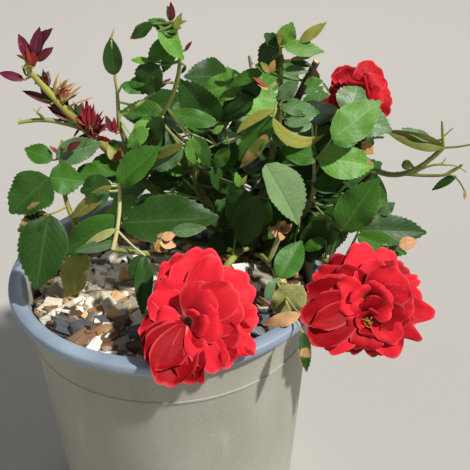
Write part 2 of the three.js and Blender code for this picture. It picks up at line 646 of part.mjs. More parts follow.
// One foliage mass: its stem, side twigs, stalks and leaflets, kept clear of everything else
function makeMass(name, mass, limbProbes) {
  const foot = vector(canes[mass.on].tip);
  const curve = bowedLine(foot, vector(mass.end), vector(mass.bow));
  const radii = mass.thick.map((width) => width / 2);
  const solids = [];
  let stem = limb(curve, radii, stemSides, stemSteps);
  for (const probe of limbProbes) {
    stem = stem.subtract(probe);
  }
  solids.push(wholeBody(stem));
  const others = [...bodies];

  // Adds what `make` builds, unless it comes too close to the solids near it
  const addClear = (make, near = others) => {
    const clear = !touches(make(clearance), near);
    if (clear) solids.push(make(0));
    return clear;
  };
  // A compound leaf stays in the crown and off the leaves that its own mass has already
  const addCompound = ({ nodes, leaflets }) => {
    const near = [...others, ...solids.slice(1)];
    const [end, direction, size] = leaflets.pop();
    const stalk = (grow) => stalkedLeaf(nodes, petioleRadius, direction, size, wildRatio, grow);
    if (!insideCrown(end.clone().addScaledVector(direction, size)) || !addClear(stalk)) return;
    for (const [place, aside, length] of leaflets) {
      const tip = place.clone().addScaledVector(aside, length);
      if (insideCrown(tip)) addClear((grow) => leaflet(place, aside, length, wildRatio, grow), near);
    }
  };

  for (const [at, azimuth, rise, stalk, leaflets, thick] of mass.sprays) {
    const from = curve.getPoint(at);
    const joint = from.clone().addScaledVector(heading(azimuth, rise), stalk);
    const stalkRadii = thick ? [thick, thick * 0.7] : petioleRadius;
    leaflets.forEach(([leafAzimuth, leafRise, length, ratio], k) => {
      const direction = heading(leafAzimuth, leafRise);
      const nodes = [from, joint];
      addClear((grow) => (k === 0
        ? stalkedLeaf(nodes, stalkRadii, direction, length, ratio, grow)
        : leaflet(joint, direction, length, ratio, grow)));
    });
  }
  if (mass.wild) {
    wildLeaves(mass.wild, curve).forEach(addCompound);
  }
  if (mass.twigs) {
    const { count, azimuth, swing, long, leaves, seed } = mass.twigs;
    const dice = new Dice(seed);
    for (let k = 0; k < count; k += 1) {
      const from = curve.getPoint(0.2 + (0.5 * k) / count);
      const turn = azimuth + swing * (2 * (k / (count - 1)) - 1) + dice.between(-10, 10);
      const to = from.clone().addScaledVector(heading(turn, dice.between(10, 30)), long);
      const inner = { count: leaves, from: 0.2, azimuth: turn, swing: 70, seed: seed * 10 + k };
      const line = new THREE.LineCurve3(from, to);
      const twig = (grow) => limb(line, sideTwigRadius, twigSides, 2, grow);
      if (addClear(twig)) wildLeaves(inner, line).forEach(addCompound);
    }
  }
  addPart(name, wholeBody(join(solids)), mass.tone, 0.55);
}

const potProbe = makePot();
const stockProbe = stockShape(clearance);
makeFilling(stockProbe);
addPart("rootstock", stockShape(0), "bark", 0.85);
const limbProbes = makeCanes(stockProbe);
for (const [name, bloom] of Object.entries(blooms)) {
  makeBloom(name, bloom, [potProbe, ...limbProbes]);
}
for (const [name, mass] of Object.entries(masses)) {
  makeMass(name, mass, limbProbes);
}

export default group;
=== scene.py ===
import math
import bpy
import bmesh
import numpy as np
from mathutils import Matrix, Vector
from mathutils.bvhtree import BVHTree


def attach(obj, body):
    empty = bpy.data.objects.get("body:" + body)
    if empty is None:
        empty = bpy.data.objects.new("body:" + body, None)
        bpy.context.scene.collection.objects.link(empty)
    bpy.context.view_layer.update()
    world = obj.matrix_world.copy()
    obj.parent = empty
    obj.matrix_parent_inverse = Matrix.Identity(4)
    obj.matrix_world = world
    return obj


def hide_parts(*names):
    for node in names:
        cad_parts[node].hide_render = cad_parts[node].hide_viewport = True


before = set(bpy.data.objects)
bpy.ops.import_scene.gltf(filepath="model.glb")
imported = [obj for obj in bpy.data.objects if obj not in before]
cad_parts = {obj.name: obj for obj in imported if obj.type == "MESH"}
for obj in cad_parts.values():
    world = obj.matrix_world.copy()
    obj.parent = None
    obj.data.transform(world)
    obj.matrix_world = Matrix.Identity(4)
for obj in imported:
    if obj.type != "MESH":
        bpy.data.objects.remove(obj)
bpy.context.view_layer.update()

mm = 0.001   # sizes below are in millimetres, and every finished mesh is scaled by this


# The photograph's view: the camera's place in millimetres, its tilt, and the picture in pixels
view = {"place": (51.76, -517.33, 560.74), "pitch": 31.0, "roll": -0.7, "focal": 780, "frame": 470}
# Where the bush's leaves end in the picture, in pixels
crownOutline = [
    (28, 172), (58, 150), (108, 128), (122, 100), (128, 62), (150, 34), (186, 40), (202, 74), (234, 70),
    (250, 44), (280, 28), (318, 42), (320, 98), (352, 94), (378, 102), (394, 132), (390, 170),
    (402, 204), (384, 236), (330, 250), (330, 330), (250, 345), (200, 262), (120, 232), (40, 240),
]


# Seeded dice, directions and curves

class Dice:
    def __init__(self, seed):
        self.state = seed

    def roll(self):
        self.state = (self.state * 1664525 + 1013904223) & 0xffffffff
        return self.state / 4294967296

    def between(self, low, high):
        return low + (high - low) * self.roll()

    def either(self, reach):
        return self.between(-reach, reach)

    def each(self, spans):
        return tuple(self.between(*span) for span in spans)

    def pick(self, choices):
        return choices[int(self.roll() * len(choices))]


def vec(*numbers):
    return np.array(numbers, float)


def unit(v):
    return v / np.linalg.norm(v)


def heading(azimuth, rise):
    a, r = math.radians(azimuth), math.radians(rise)
    return vec(math.cos(r) * math.cos(a), math.cos(r) * math.sin(a), math.sin(r))


def turned(v, axis, angle):
    axis = unit(axis)
    along = axis * np.dot(axis, v)
    return along + (v - along) * math.cos(angle) + np.cross(axis, v) * math.sin(angle)


def normed(rows):
    return rows / np.linalg.norm(rows, axis=-1, keepdims=True)


class Bow:
    # A quadratic curve from foot to tip, pushed sideways at its middle
    def __init__(self, foot, tip, bow=(0, 0, 0)):
        self.foot, self.tip = vec(*foot), vec(*tip)
        self.middle = (self.foot + self.tip) / 2 + 2 * vec(*bow)
        self.length = np.linalg.norm(self.tip - self.foot)

    def at(self, t):
        t = np.asarray(t, float)[..., None]
        return (1 - t) ** 2 * self.foot + 2 * t * (1 - t) * self.middle + t * t * self.tip

    def along(self, t):
        t = np.asarray(t, float)[..., None]
        return normed((1 - t) * (self.middle - self.foot) + t * (self.tip - self.middle))


# Templates: one small mesh each, made by bmesh operators, that the pieces repeat

def everything(bm):
    return bm.verts[:] + bm.edges[:] + bm.faces[:]


def asTemplate(bm):
    bm.verts.index_update()
    points = np.array([v.co[:] for v in bm.verts])
    faces = [[v.index for v in f.verts] for f in bm.faces]
    bm.free()
    return {"points": points, "faces": faces, "uv": (points[:, :2] + 1) / 2}


def rodTemplate(sides, steps):
    bm = bmesh.new()
    bmesh.ops.create_cone(bm, cap_ends=True, segments=sides, radius1=1, radius2=1, depth=1)
    for k in range(1, steps):
        bmesh.ops.bisect_plane(bm, geom=everything(bm), dist=1e-5,
                               plane_co=(0, 0, k / steps - 0.5), plane_no=(0, 0, 1))
    return asTemplate(bm)


def bladeTemplate(across, along):
    # Two sheets that share their rim: z is 1 on the upper face, -1 on the lower and 0 at the rim
    bm = bmesh.new()
    bmesh.ops.create_grid(bm, x_segments=across, y_segments=along, size=1)
    inner = [v for v in bm.verts if not v.is_boundary]
    copied = bmesh.ops.duplicate(bm, geom=everything(bm))
    under = [f for f in copied["geom"] if isinstance(f, bmesh.types.BMFace)]
    bmesh.ops.reverse_faces(bm, faces=under)
    for v in bm.verts:
        if not v.is_boundary:
            v.co.z = -1
    for v in inner:
        v.co.z = 1
    bmesh.ops.remove_doubles(bm, verts=bm.verts[:], dist=1e-4)
    template = asTemplate(bm)
    heights = template["points"][:, 2]
    template["under"] = [sum(heights[i] for i in f) < 0 for f in template["faces"]]
    template["rows"] = along
    return template


def blockTemplate(bevel):
    bm = bmesh.new()
    bmesh.ops.create_cube(bm, size=2)
    bmesh.ops.bevel(bm, geom=bm.edges[:], offset=bevel, affect="EDGES", segments=1, profile=0.5,
                    material=-1)
    bmesh.ops.subdivide_edges(bm, edges=[e for e in bm.edges if e.calc_length() > 1], cuts=1,
                              use_grid_fill=True)
    return asTemplate(bm)


def beadTemplate(sides=8, rings=6):
    bm = bmesh.new()
    bmesh.ops.create_uvsphere(bm, u_segments=sides, v_segments=rings, radius=1)
    return asTemplate(bm)


class Piece:
    # Many placed copies of templates, joined in one mesh
    def __init__(self, name):
        self.name, self.points, self.faces = name, [], []
        self.maps, self.shades, self.drys, self.slots, self.materials = [], [], [], [], []
        self.count = 0

    def slotOf(self, material):
        if material not in self.materials:
            self.materials.append(material)
        return self.materials.index(material)

    def add(self, template, points, material, under=None, shade=0.5, uv=None, dry=0.0):
        top = self.slotOf(material)
        below = top if under is None else self.slotOf(under)
        flags = template.get("under") or [False] * len(template["faces"])
        for face, low in zip(template["faces"], flags):
            self.faces.append([k + self.count for k in face])
            self.slots.append(below if low else top)
        self.points.append(points)
        self.maps.append(np.zeros((len(points), 2)) if uv is None else uv)
        self.shades.append(np.full(len(points), shade))
        self.drys.append(np.full(len(points), dry))
        self.count += len(points)

    def build(self, slot, replaces=(), sharp=50):
        mesh = bpy.data.meshes.new(self.name)
        mesh.from_pydata(np.concatenate(self.points) * mm, [], self.faces)
        for material in self.materials:
            mesh.materials.append(material)
        mesh.polygons.foreach_set("material_index", self.slots)
        corners = np.zeros(len(mesh.loops), np.int32)
        mesh.loops.foreach_get("vertex_index", corners)
        layer = mesh.uv_layers.new(name="blade")
        layer.data.foreach_set("uv", np.concatenate(self.maps)[corners].ravel())
        for label, values in (("shade", self.shades), ("dry", self.drys)):
            layer = mesh.attributes.new(label, "FLOAT", "POINT")
            layer.data.foreach_set("value", np.concatenate(values))
        mesh.validate()
        dress(mesh, slot, replaces, sharp)


def asMesh(bm, name, *materials):
    mesh = bpy.data.meshes.new(name)
    bm.to_mesh(mesh)
    bm.free()
    for material in materials:
        mesh.materials.append(material)
    return mesh


def show(name, data):
    thing = bpy.data.objects.new(name, data)
    bpy.context.scene.collection.objects.link(thing)
    return thing


def dress(mesh, slot, replaces=(), sharp=50):
    mesh.shade_smooth()
    mesh.set_sharp_from_angle(angle=math.radians(sharp))
    piece = show(mesh.name, mesh)
    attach(piece, "root")
    if replaces:
        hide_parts(*replaces)


# Materials

def colour(code, strength=1.0):
    parts = [int(code[i:i + 2], 16) / 255 for i in (1, 3, 5)]
    linear = [c / 12.92 if c <= 0.04045 else ((c + 0.055) / 1.055) ** 2.4 for c in parts]
    return tuple(min(1.0, c * strength) for c in linear) + (1.0,)


class Wire:
    # A socket that can be added, multiplied and so on
    def __init__(self, paint, socket):
        self.paint, self.socket = paint, socket

    def maths(self, operation, *others):
        return self.paint.maths(operation, self, *others)

    def __add__(self, other):
        return self.maths("ADD", other)

    def __sub__(self, other):
        return self.maths("SUBTRACT", other)

    def __mul__(self, other):
        return self.maths("MULTIPLY", other)

    def __rsub__(self, other):
        return self.paint.maths("SUBTRACT", other, self)

    __radd__ = __add__
    __rmul__ = __mul__


class Paint:
    def __init__(self, name, **constants):
        self.material = bpy.data.materials.new(name)
        self.material.use_nodes = True
        self.tree = self.material.node_tree
        self.skin = self.tree.nodes["Principled BSDF"]
        for socket, value in constants.items():
            self.skin.inputs[socket.replace("_", " ")].default_value = value

    def node(self, kind, settings=None, sockets=None, out=0):
        node = self.tree.nodes.new(kind)
        for key, value in (settings or {}).items():
            setattr(node, key, value)
        for key, value in (sockets or {}).items():
            self.plug(node.inputs[key], value)
        return Wire(self, node.outputs[out])

    def plug(self, socket, value):
        if isinstance(value, Wire):
            self.tree.links.new(value.socket, socket)
        else:
            socket.default_value = value

    def maths(self, operation, *values):
        return self.node("ShaderNodeMath", {"operation": operation}, dict(enumerate(values)))

    def mix(self, factor, first, second):
        first, second = (colour(c) if isinstance(c, str) else c for c in (first, second))
        return self.node("ShaderNodeMix", {"data_type": "RGBA"}, {0: factor, 6: first, 7: second}, 2)

    def smooth(self, value, low, high):
        return self.node("ShaderNodeMapRange", {"interpolation_type": "SMOOTHSTEP"},
                         {0: value, 1: low, 2: high, 3: 0.0, 4: 1.0})

    def stretched(self, where, stretch):
        return self.node("ShaderNodeMapping", {}, {0: where, 3: stretch})

    def noise(self, scale, detail=3.0, stretch=(1, 1, 1), where=None):
        spot = where or self.stretched(self.node("ShaderNodeTexCoord", out=3), stretch)
        return self.node("ShaderNodeTexNoise", {}, {"Vector": spot, "Scale": scale, "Detail": detail})

    def blade(self):
        # The piece's own map: x runs across a leaf or petal and y along it
        return self.node("ShaderNodeUVMap", {"uv_map": "blade"})

    def parts(self, flat):
        return [self.node("ShaderNodeSeparateXYZ", {}, {0: flat}, k) for k in (0, 1)]

    def own(self, label):
        return self.node("ShaderNodeAttribute", {"attribute_name": label}, out=2)

    def finish(self, base, roughness=None, height=None, depth=0.1, strength=0.6):
        self.plug(self.skin.inputs["Base Color"], base)
        if roughness is not None:
            self.plug(self.skin.inputs["Roughness"], roughness)
        if height is not None:
            sockets = {"Height": height, "Distance": depth * mm, "Strength": strength}
            self.plug(self.skin.inputs["Normal"], self.node("ShaderNodeBump", {}, sockets))
        return self.material


# Each leaf colour: the blade, its veins and how rough it is
leafPaints = {
    # dark is partly painted shade: a shaded copy of the green, put where the inside of the crown lies in
    # shadow
    "dark": ("#284715", "#48662f", 0.44),
    "mid": ("#39651b", "#638440", 0.46),
    # light is partly painted light: a sunlit copy of the same green
    "light": ("#5b8a31", "#86a95c", 0.46),
    # grey is partly a painted sheen: sun glare on glossy leaves
    "grey": ("#5a784c", "#86a274", 0.38),
    "olive": ("#5f6326", "#83863f", 0.52),
    "yellow": ("#84863a", "#a8a458", 0.52),
    "bronze": ("#582526", "#80443e", 0.36),
    "red": ("#8a1f2b", "#ad4744", 0.32),
    "tan": ("#b08450", "#cdaa76", 0.7),
    "mauve": ("#5c1e30", "#a86474", 0.28),
    "rust": ("#8c3420", "#b85c3a", 0.45),
    "pale": ("#b4b66e", "#cfcf96", 0.55),
    "straw": ("#cfa06e", "#e6c598", 0.75),
    "under": ("#75905c", "#587646", 0.62),
    "underRed": ("#7a3630", "#a05c48", 0.5),
}
leafLook = {
    "pairs": 8.0, "slope": 0.34, "relief": 0.16, "veins": 0.34, "rim": 0.4, "gloss": 0.21,
    "cloud": (75, 4), "fine": (650, 2), "blotch": (48, 3), "dead": ("#6e4a22", "#c2a066"),
}


def leafPaint(name, base, vein, rough):
    paint = Paint("leaf_" + name, Roughness=rough, Specular_IOR_Level=leafLook["gloss"])
    x, y = paint.parts(paint.blade())
    off = (x * 2 - 1).maths("ABSOLUTE")
    phase = (y * leafLook["pairs"] - off * (leafLook["pairs"] * leafLook["slope"])).maths("FRACT")
    ridge = paint.smooth((phase - 0.5).maths("ABSOLUTE") * 2, 0.80, 1.0) * paint.smooth(off, 1.0, 0.6) * 0.6
    midrib = paint.smooth(off, 0.09, 0.02)
    lines = ridge.maths("MAXIMUM", midrib)
    cloud, fine = paint.noise(*leafLook["cloud"]), paint.noise(*leafLook["fine"])
    tint = paint.own("shade") * 0.40 + cloud * 0.40 + paint.smooth(fine, 0.3, 0.7) * 0.20
    deep = paint.mix(tint, colour(base, 0.5), colour(base, 1.5))
    skin = paint.mix(lines * leafLook["veins"], deep, vein)
    skin = paint.mix(paint.smooth(off, 0.90, 1.0) * leafLook["rim"], skin, vein)
    # A dry leaf is brown from its edge and tip inward, and in blotches
    dry = paint.own("dry")
    edge = off.maths("MAXIMUM", y * 1.04 - 0.06) + (cloud - 0.5) * 0.6
    edge = edge - paint.smooth(y, 0.45, 0.1) * 0.4
    brown = paint.smooth(edge - (1 - dry) * 0.4, 0.82, 0.93)
    spots = paint.noise(*leafLook["blotch"])
    blotch = paint.smooth(spots + dry * 0.13, 0.69, 0.73) * paint.smooth(dry, 0.3, 0.6)
    crisp = brown.maths("MAXIMUM", blotch)
    skin = paint.mix(crisp, skin, paint.mix(fine, *leafLook["dead"]))
    height = 1 - lines + (phase - 0.5).maths("ABSOLUTE") * -0.7 + fine * 0.7 + crisp * 0.8
    sheen = rough - 0.08 + cloud * 0.16 + crisp * 0.3
    return paint.finish(skin, sheen, height, leafLook["relief"])


# deep and bright: the reds for petals given a dark tone as painted shade and a light tone as painted light
petalLook = {
    "deep": "#8a0209", "bright": "#ea2836", "rim": "#f25a66", "claw": "#f3a69c", "gloss": 0.10,
    "sheen": 0.02, "streaks": (18, 1.3, 1), "cloud": (50, 3), "relief": 0.22,
}


def petalPaint():
    look = petalLook
    paint = Paint("petal_red", Roughness=0.55, Sheen_Weight=look["sheen"], Specular_IOR_Level=look["gloss"])
    flat = paint.blade()
    x, y = paint.parts(flat)
    lines = paint.noise(2.2, 3, where=paint.stretched(flat, look["streaks"]))
    cloud = paint.noise(*look["cloud"])
    # each petal's shade value moves it from deep to bright red: painted shade and painted light, with cloud
    # and streaks on top
    tint = paint.own("shade") * 0.4 + cloud * 0.3 + lines * 0.3
    skin = paint.mix(paint.smooth(tint, 0.25, 0.75), look["deep"], look["bright"])
    rim = paint.smooth((x * 2 - 1).maths("ABSOLUTE").maths("MAXIMUM", y * 2 - 1), 0.86, 1.0)
    skin = paint.mix(rim * 0.4, skin, look["rim"])
    # the pale claw fades out on petals painted dark as shade
    claw = paint.smooth(y + (lines - 0.5) * 0.3, 0.26, 0.04) * paint.smooth(paint.own("shade"), 0.1, 0.8)
    skin = paint.mix(claw * 0.6, skin, look["claw"])
    return paint.finish(skin, 0.48 + cloud * 0.2, lines + cloud * 0.6, look["relief"], 0.5)


def plainPaint(name, low, high, rough, scale, depth, stretch=1, detail=4):
    paint = Paint(name, Roughness=rough)
    cloud = paint.noise(scale, detail, (1, 1, stretch))
    mixed = paint.smooth(cloud * 0.65 + paint.own("shade") * 0.35, 0.3, 0.72)
    return paint.finish(paint.mix(mixed, low, high), rough - 0.06 + cloud * 0.12, cloud, depth)


def chipPaint(name, low, high, crack):
    paint = Paint("chip_" + name, Roughness=0.85)
    grain = paint.noise(1.0, 5, where=paint.stretched(paint.blade(), (0.5, 9, 1)))
    wear = paint.noise(120, 4)
    tint = paint.smooth(grain * 0.6 + paint.own("shade") * 0.5 + wear * 0.3, 0.42, 0.98)
    skin = paint.mix(paint.smooth(grain, 0.40, 0.30) * 0.7, paint.mix(tint, low, high), crack)
    return paint.finish(skin, 0.8 + wear * 0.15, grain + wear * 0.4, 0.9, 0.8)


# Barks and small parts: dark and light colour, roughness, size and depth of the grain, its stretch
plainPaints = {
    "bark_young": ("#55662a", "#98a04c", 0.5, 60, 0.3, 0.25),
    "bark_green": ("#3f5224", "#74803a", 0.55, 70, 0.4, 0.2),
    "bark_pale": ("#8f9a52", "#c6c285", 0.5, 60, 0.3, 0.25),
    "bark_shoot": ("#6b3a22", "#a9a849", 0.45, 42, 0.4, 0.4),
    "bark_wood": ("#2b2118", "#6b5a40", 0.85, 150, 1.2, 0.3, 6),
    "cut_pith": ("#8c7a58", "#c9b78d", 0.8, 300, 0.3),
    "prickle": ("#5c2a1e", "#a2573f", 0.45, 200, 0.1),
    "stamen": ("#8a5a16", "#d9a63a", 0.6, 300, 0.1),
    "sepal": ("#41632a", "#7c9a4a", 0.55, 200, 0.2),
}
leafSkins = {name: leafPaint(name, *look) for name, look in leafPaints.items()}
skins = {name: plainPaint(name, *look) for name, look in plainPaints.items()}
petalSkin = petalPaint()
print("materials", len(bpy.data.materials))


# Pot

pot = {
    "height": 225, "foot": 101, "neck": 114.4, "rim": 125, "mouth": 112.6, "lip": 9,
    "wall": 2.4, "floor": 3.2, "stepDrop": 44, "stepDepth": 0.8, "stepOut": 0.35, "corner": 1.6,
    "sides": 128, "holes": 6, "holeRadius": 6, "holeCircle": 72,
}


def potRadius(z):
    return pot["foot"] + (pot["neck"] - pot["foot"]) * z / (pot["height"] - pot["lip"])


def innerRadius(z):
    return potRadius(z) - pot["stepDepth"] - pot["wall"]


def spun(bm, profile, sides):
    verts = [bm.verts.new((r, 0, z)) for r, z in profile]
    edges = [bm.edges.new(pair) for pair in zip(verts, verts[1:])]
    bmesh.ops.spin(bm, geom=verts + edges, cent=(0, 0, 0), axis=(0, 0, 1), angle=2 * math.pi,
                   steps=sides, use_merge=True)
    bmesh.ops.remove_doubles(bm, verts=bm.verts[:], dist=1e-4)
    bmesh.ops.recalc_face_normals(bm, faces=bm.faces[:])


def rounded(corners, radius, steps=4):
    # The corners of a section, each turned into a short arc
    out = [vec(*corners[0])]
    for before, here, after in zip(corners, corners[1:], corners[2:]):
        here = vec(*here)
        before, after = vec(*before) - here, vec(*after) - here
        near = min(radius, 0.45 * np.linalg.norm(before), 0.45 * np.linalg.norm(after))
        start, end = here + unit(before) * near, here + unit(after) * near
        for t in np.linspace(0, 1, steps + 1):
            out.append((1 - t) ** 2 * start + 2 * t * (1 - t) * here + t * t * end)
    return [*out, vec(*corners[-1])]


def bodyPaint():
    paint = Paint("pot_body", Roughness=0.55)
    speck, cloud, drips = paint.noise(900, 2), paint.noise(14, 4), paint.noise(30, 4, (1, 1, 0.12))
    skin = paint.mix(paint.smooth(cloud * 0.6 + drips * 0.4, 0.3, 0.75), "#929082", "#a8a698")
    skin = paint.mix(paint.smooth(speck, 0.58, 0.72) * 0.30, skin, "#c9c9bd")
    skin = paint.mix(paint.smooth(speck, 0.42, 0.30) * 0.30, skin, "#6c6c63")
    scuff = paint.smooth(paint.noise(40, 5, (1, 1, 0.3)), 0.63, 0.70) * 0.25
    skin = paint.mix(scuff, skin, "#bdbbb0")
    return paint.finish(skin, 0.46 + cloud * 0.16, speck * 0.6 + paint.noise(260, 3) * 0.4, 0.10, 0.4)


def rimPaint():
    paint = Paint("pot_rim", Roughness=0.36)
    cloud, scuff = paint.noise(22, 4), paint.noise(320, 3, (1, 1, 3))
    skin = paint.mix(paint.smooth(cloud, 0.35, 0.7), "#7c8a98", "#95a4b2")
    skin = paint.mix(paint.smooth(scuff, 0.60, 0.76) * 0.25, skin, "#aab4bc")
    return paint.finish(skin, 0.42 + cloud * 0.16, scuff, 0.05, 0.4)


def makePot():
    top, neck, step = pot["height"], pot["height"] - pot["lip"], pot["height"] - pot["stepDrop"]
    deep, out = pot["stepDepth"], pot["stepOut"]
    middle = (pot["rim"] + pot["mouth"]) / 2
    corners = [
        # Foot, wall and ring line
        (0, 0), (potRadius(0) - 1.5, 0), (potRadius(3) - deep, 3.5),
        (potRadius(step) - deep, step - 1.0), (potRadius(step) + out, step - 0.9),
        (potRadius(step) + out, step + 0.9), (potRadius(step) - 0.1, step + 1.2),
        # Rolled rim
        (pot["neck"], neck), (pot["rim"] - 2.2, neck - 1.4), (pot["rim"], neck + 2.6),
        (pot["rim"] - 0.4, top - 1.6), (middle + 1.5, top), (middle - 4.2, top - 0.4),
        # Inside
        (pot["mouth"], top - 4.2), (innerRadius(neck - 4), neck - 5),
        (innerRadius(pot["floor"]), pot["floor"]), (0, pot["floor"]),
    ]
    bm = bmesh.new()
    spun(bm, [p * mm for p in rounded(corners, pot["corner"])], pot["sides"])
    for f in bm.faces:
        spot = f.calc_center_median() / mm
        f.material_index = int(spot.z > neck - 1.0 and Vector(spot[:2]).length > pot["neck"] - 1.9)
    shell = show("pot_blank", asMesh(bm, "pot_blank", bodyPaint(), rimPaint()))
    drill = bmesh.new()
    for k in range(pot["holes"]):
        radius = pot["holeRadius"] * mm
        made = bmesh.ops.create_cone(drill, cap_ends=True, segments=24, radius1=radius,
                                     radius2=radius, depth=4 * pot["floor"] * mm)
        turn = 2 * math.pi * k / pot["holes"]
        spot = Vector((math.cos(turn), math.sin(turn), 0)) * pot["holeCircle"] * mm
        bmesh.ops.translate(drill, verts=made["verts"], vec=spot)
    bit = show("drain_drill", asMesh(drill, "drain_drill"))
    cut = shell.modifiers.new("drain", "BOOLEAN")
    cut.operation, cut.solver, cut.object = "DIFFERENCE", "EXACT", bit
    bpy.context.view_layer.update()
    drilled = shell.evaluated_get(bpy.context.evaluated_depsgraph_get())
    mesh = bpy.data.meshes.new_from_object(drilled)
    for spare in (shell, bit):
        bpy.data.objects.remove(spare)
    mesh.name = "pot_shell"
    dress(mesh, "pot", ["pot"], 40)


makePot()
print("pot")


# Compost and chips

mulch = {
    "top": 198.5, "crown": 3, "clear": 0.5, "sides": 96, "rings": 16, "reach": 105, "seed": 7,
    "lumps": 140, "lumpReach": 100, "lumpWide": (5, 16), "lumpHigh": (-1.6, 2.2), "lumpSeed": 91,
    "layers": 3, "spread": 10.5, "topSpread": 4, "layerRise": 2.9, "layerTurn": 40, "strayPale": 0.14,
    "splinters": 230, "splinterReach": 103, "splinterRise": 8,
}
chip = {
    "size": ((11, 27), (8, 17), (4, 9)), "splinter": ((8, 30), (1.2, 3), (0.8, 2)), "bevel": 0.12,
    "uneven": 0.10, "skew": 0.3, "slope": 0.25, "taper": 0.35, "jitter": 4, "tilt": 16,
    "layerTilt": 8, "splinterTilt": 25, "edge": 110, "stockClear": 13, "grain": 10,
}
goldenTurn = 137.508
# Each chip tone: its dark and light colour and the colour of its cracks
chipTones = {
    "cream": ("#c9bca2", "#faf4e6", "#7a6248"),
    "tan": ("#94683c", "#dcb27c", "#4a2c18"),
    "brown": ("#4a3223", "#8c6a4c", "#1f140d"),
    "slate": ("#46464a", "#8a8a8e", "#22211f"),
    "weathered": ("#6a6459", "#a59c8a", "#302a22"),
    "rust": ("#6e3517", "#b76d38", "#2b140a"),
}
chipShare = {
    "pile": ["cream", "cream", "cream", "tan", "cream", "weathered", "cream", "cream"],
    "front": ["slate", "brown", "slate", "cream", "weathered", "slate", "tan", "brown", "weathered"],
    "splinter": ["cream", "tan", "brown", "rust"],
}
pilePlace = {"x": -62, "y": -10, "reach": 34}   # the pale chips lie together here
stock = {"x": 66, "y": 38, "bottom": 197, "top": 237, "radii": [8.5, 9.5, 8.5, 10.5, 9.5, 11, 8, 4.5]}


def compostPaint():
    paint = Paint("compost", Roughness=0.95)
    crumb, cloud = paint.noise(420, 6), paint.noise(90, 3)
    skin = paint.mix(paint.smooth(crumb, 0.35, 0.7), "#150d08", "#4d3524")
    skin = paint.mix(paint.smooth(cloud, 0.5, 0.7) * 0.5, skin, "#6b4c32")
    return paint.finish(skin, 0.95, crumb, 2.0, 0.9)


def crownHeight(share):
    # The compost's height at a share of the way from its middle to its edge
    return mulch["top"] + mulch["crown"] * (1 - share ** 2)


def makeCompost():
    floor, edge = pot["floor"] + mulch["clear"], mulch["top"] - 1
    wall = [(innerRadius(z) - mulch["clear"], z) for z in (floor, 100, edge)]
    shares = [k / mulch["rings"] for k in range(mulch["rings"], -1, -1)]
    profile = [(0, floor), *wall, *((mulch["reach"] * s, crownHeight(s)) for s in shares)]
    bm = bmesh.new()
    spun(bm, [vec(*p) * mm for p in profile], mulch["sides"])
    dice = Dice(mulch["lumpSeed"])
    across = (-mulch["lumpReach"], mulch["lumpReach"])
    spans = (across, across, mulch["lumpWide"], mulch["lumpHigh"])
    lumps = [dice.each(spans) for _ in range(mulch["lumps"])]
    for v in bm.verts:
        if v.co.z > (mulch["top"] - 0.5) * mm:
            x, y = v.co.x / mm, v.co.y / mm
            v.co.z += mm * sum(h * math.exp(-((x - a) ** 2 + (y - b) ** 2) / (r * r)) for a, b, r, h in lumps)
    dress(asMesh(bm, "compost", compostPaint()), "filling", ["filling"])


def makeChips():
    block = blockTemplate(chip["bevel"])
    dice = Dice(mulch["seed"])
    chipSkins = {name: chipPaint(name, *look) for name, look in chipTones.items()}
    chips = Piece("bark_chips")

    def lay(x, y, z, size, tone, tilt):
        rough = chip["uneven"] * np.sin(block["points"][:, [1, 2, 0]] * 3 + dice.between(0, 6))
        raw = block["points"] * (1 + rough)
        skew, slope, taper = dice.either(chip["skew"]), dice.either(chip["slope"]), dice.either(chip["taper"])
        local = np.array(size) / 2 * raw
        local[:, 0] += skew * local[:, 1]
        local[:, 1] *= 1 + taper * raw[:, 0]
        local[:, 2] *= 1 + slope * raw[:, 0]
        turn, roll, pitch = dice.between(0, 360), dice.either(tilt), dice.either(tilt)
        out = heading(turn, pitch)
        side = turned(np.cross(vec(0, 0, 1), heading(turn, 0)), out, math.radians(roll))
        up = np.cross(out, side)
        points = vec(x, y, z) + local[:, :1] * out + local[:, 1:2] * side + local[:, 2:] * up
        reach = np.hypot(points[:, 0], points[:, 1]).max()
        if reach > chip["edge"] or np.hypot(x - stock["x"], y - stock["y"]) < chip["stockClear"]:
            return
        flat = np.stack([local[:, 0], local[:, 1] + local[:, 2] * 0.8], 1) / chip["grain"]
        uv = flat + dice.between(0, 50)
        chips.add(block, points, chipSkins[tone], shade=dice.roll(), uv=uv)

    for layer in range(mulch["layers"]):
        gap = mulch["spread"] + (mulch["topSpread"] if layer == mulch["layers"] - 1 else 0)
        count = int((2 * mulch["reach"] / gap) ** 2 * 0.785)   # as many as fill the circle
        for k in range(count):
            radius = (mulch["reach"] - 3) * math.sqrt((k + 0.5) / count)
            turn = math.radians(k * goldenTurn + mulch["layerTurn"] * layer)
            x = radius * math.cos(turn) + dice.either(chip["jitter"])
            y = radius * math.sin(turn) + dice.either(chip["jitter"])
            size = dice.each(chip["size"])
            near = math.hypot(x - pilePlace["x"], y - pilePlace["y"]) < pilePlace["reach"]
            tone = dice.pick(chipShare["pile" if near or dice.roll() < mulch["strayPale"] else "front"])
            high = crownHeight(radius / mulch["reach"]) + 0.6 + mulch["layerRise"] * layer
            lay(x, y, high + dice.between(-0.6, 1.0), size, tone, chip["tilt"] + chip["layerTilt"] * layer)
    for k in range(mulch["splinters"]):
        radius, turn = mulch["splinterReach"] * math.sqrt(dice.roll()), dice.between(0, 2 * math.pi)
        size, tone = dice.each(chip["splinter"]), dice.pick(chipShare["splinter"])
        high = mulch["top"] + mulch["splinterRise"] + dice.between(-2, 1.5)
        lay(radius * math.cos(turn), radius * math.sin(turn), high, size, tone, chip["splinterTilt"])
    chips.build("chips", sharp=35)


makeCompost()
makeChips()
print("compost and chips")


# Canes: foot, tip, how far the middle bows, and the thickness at both ends

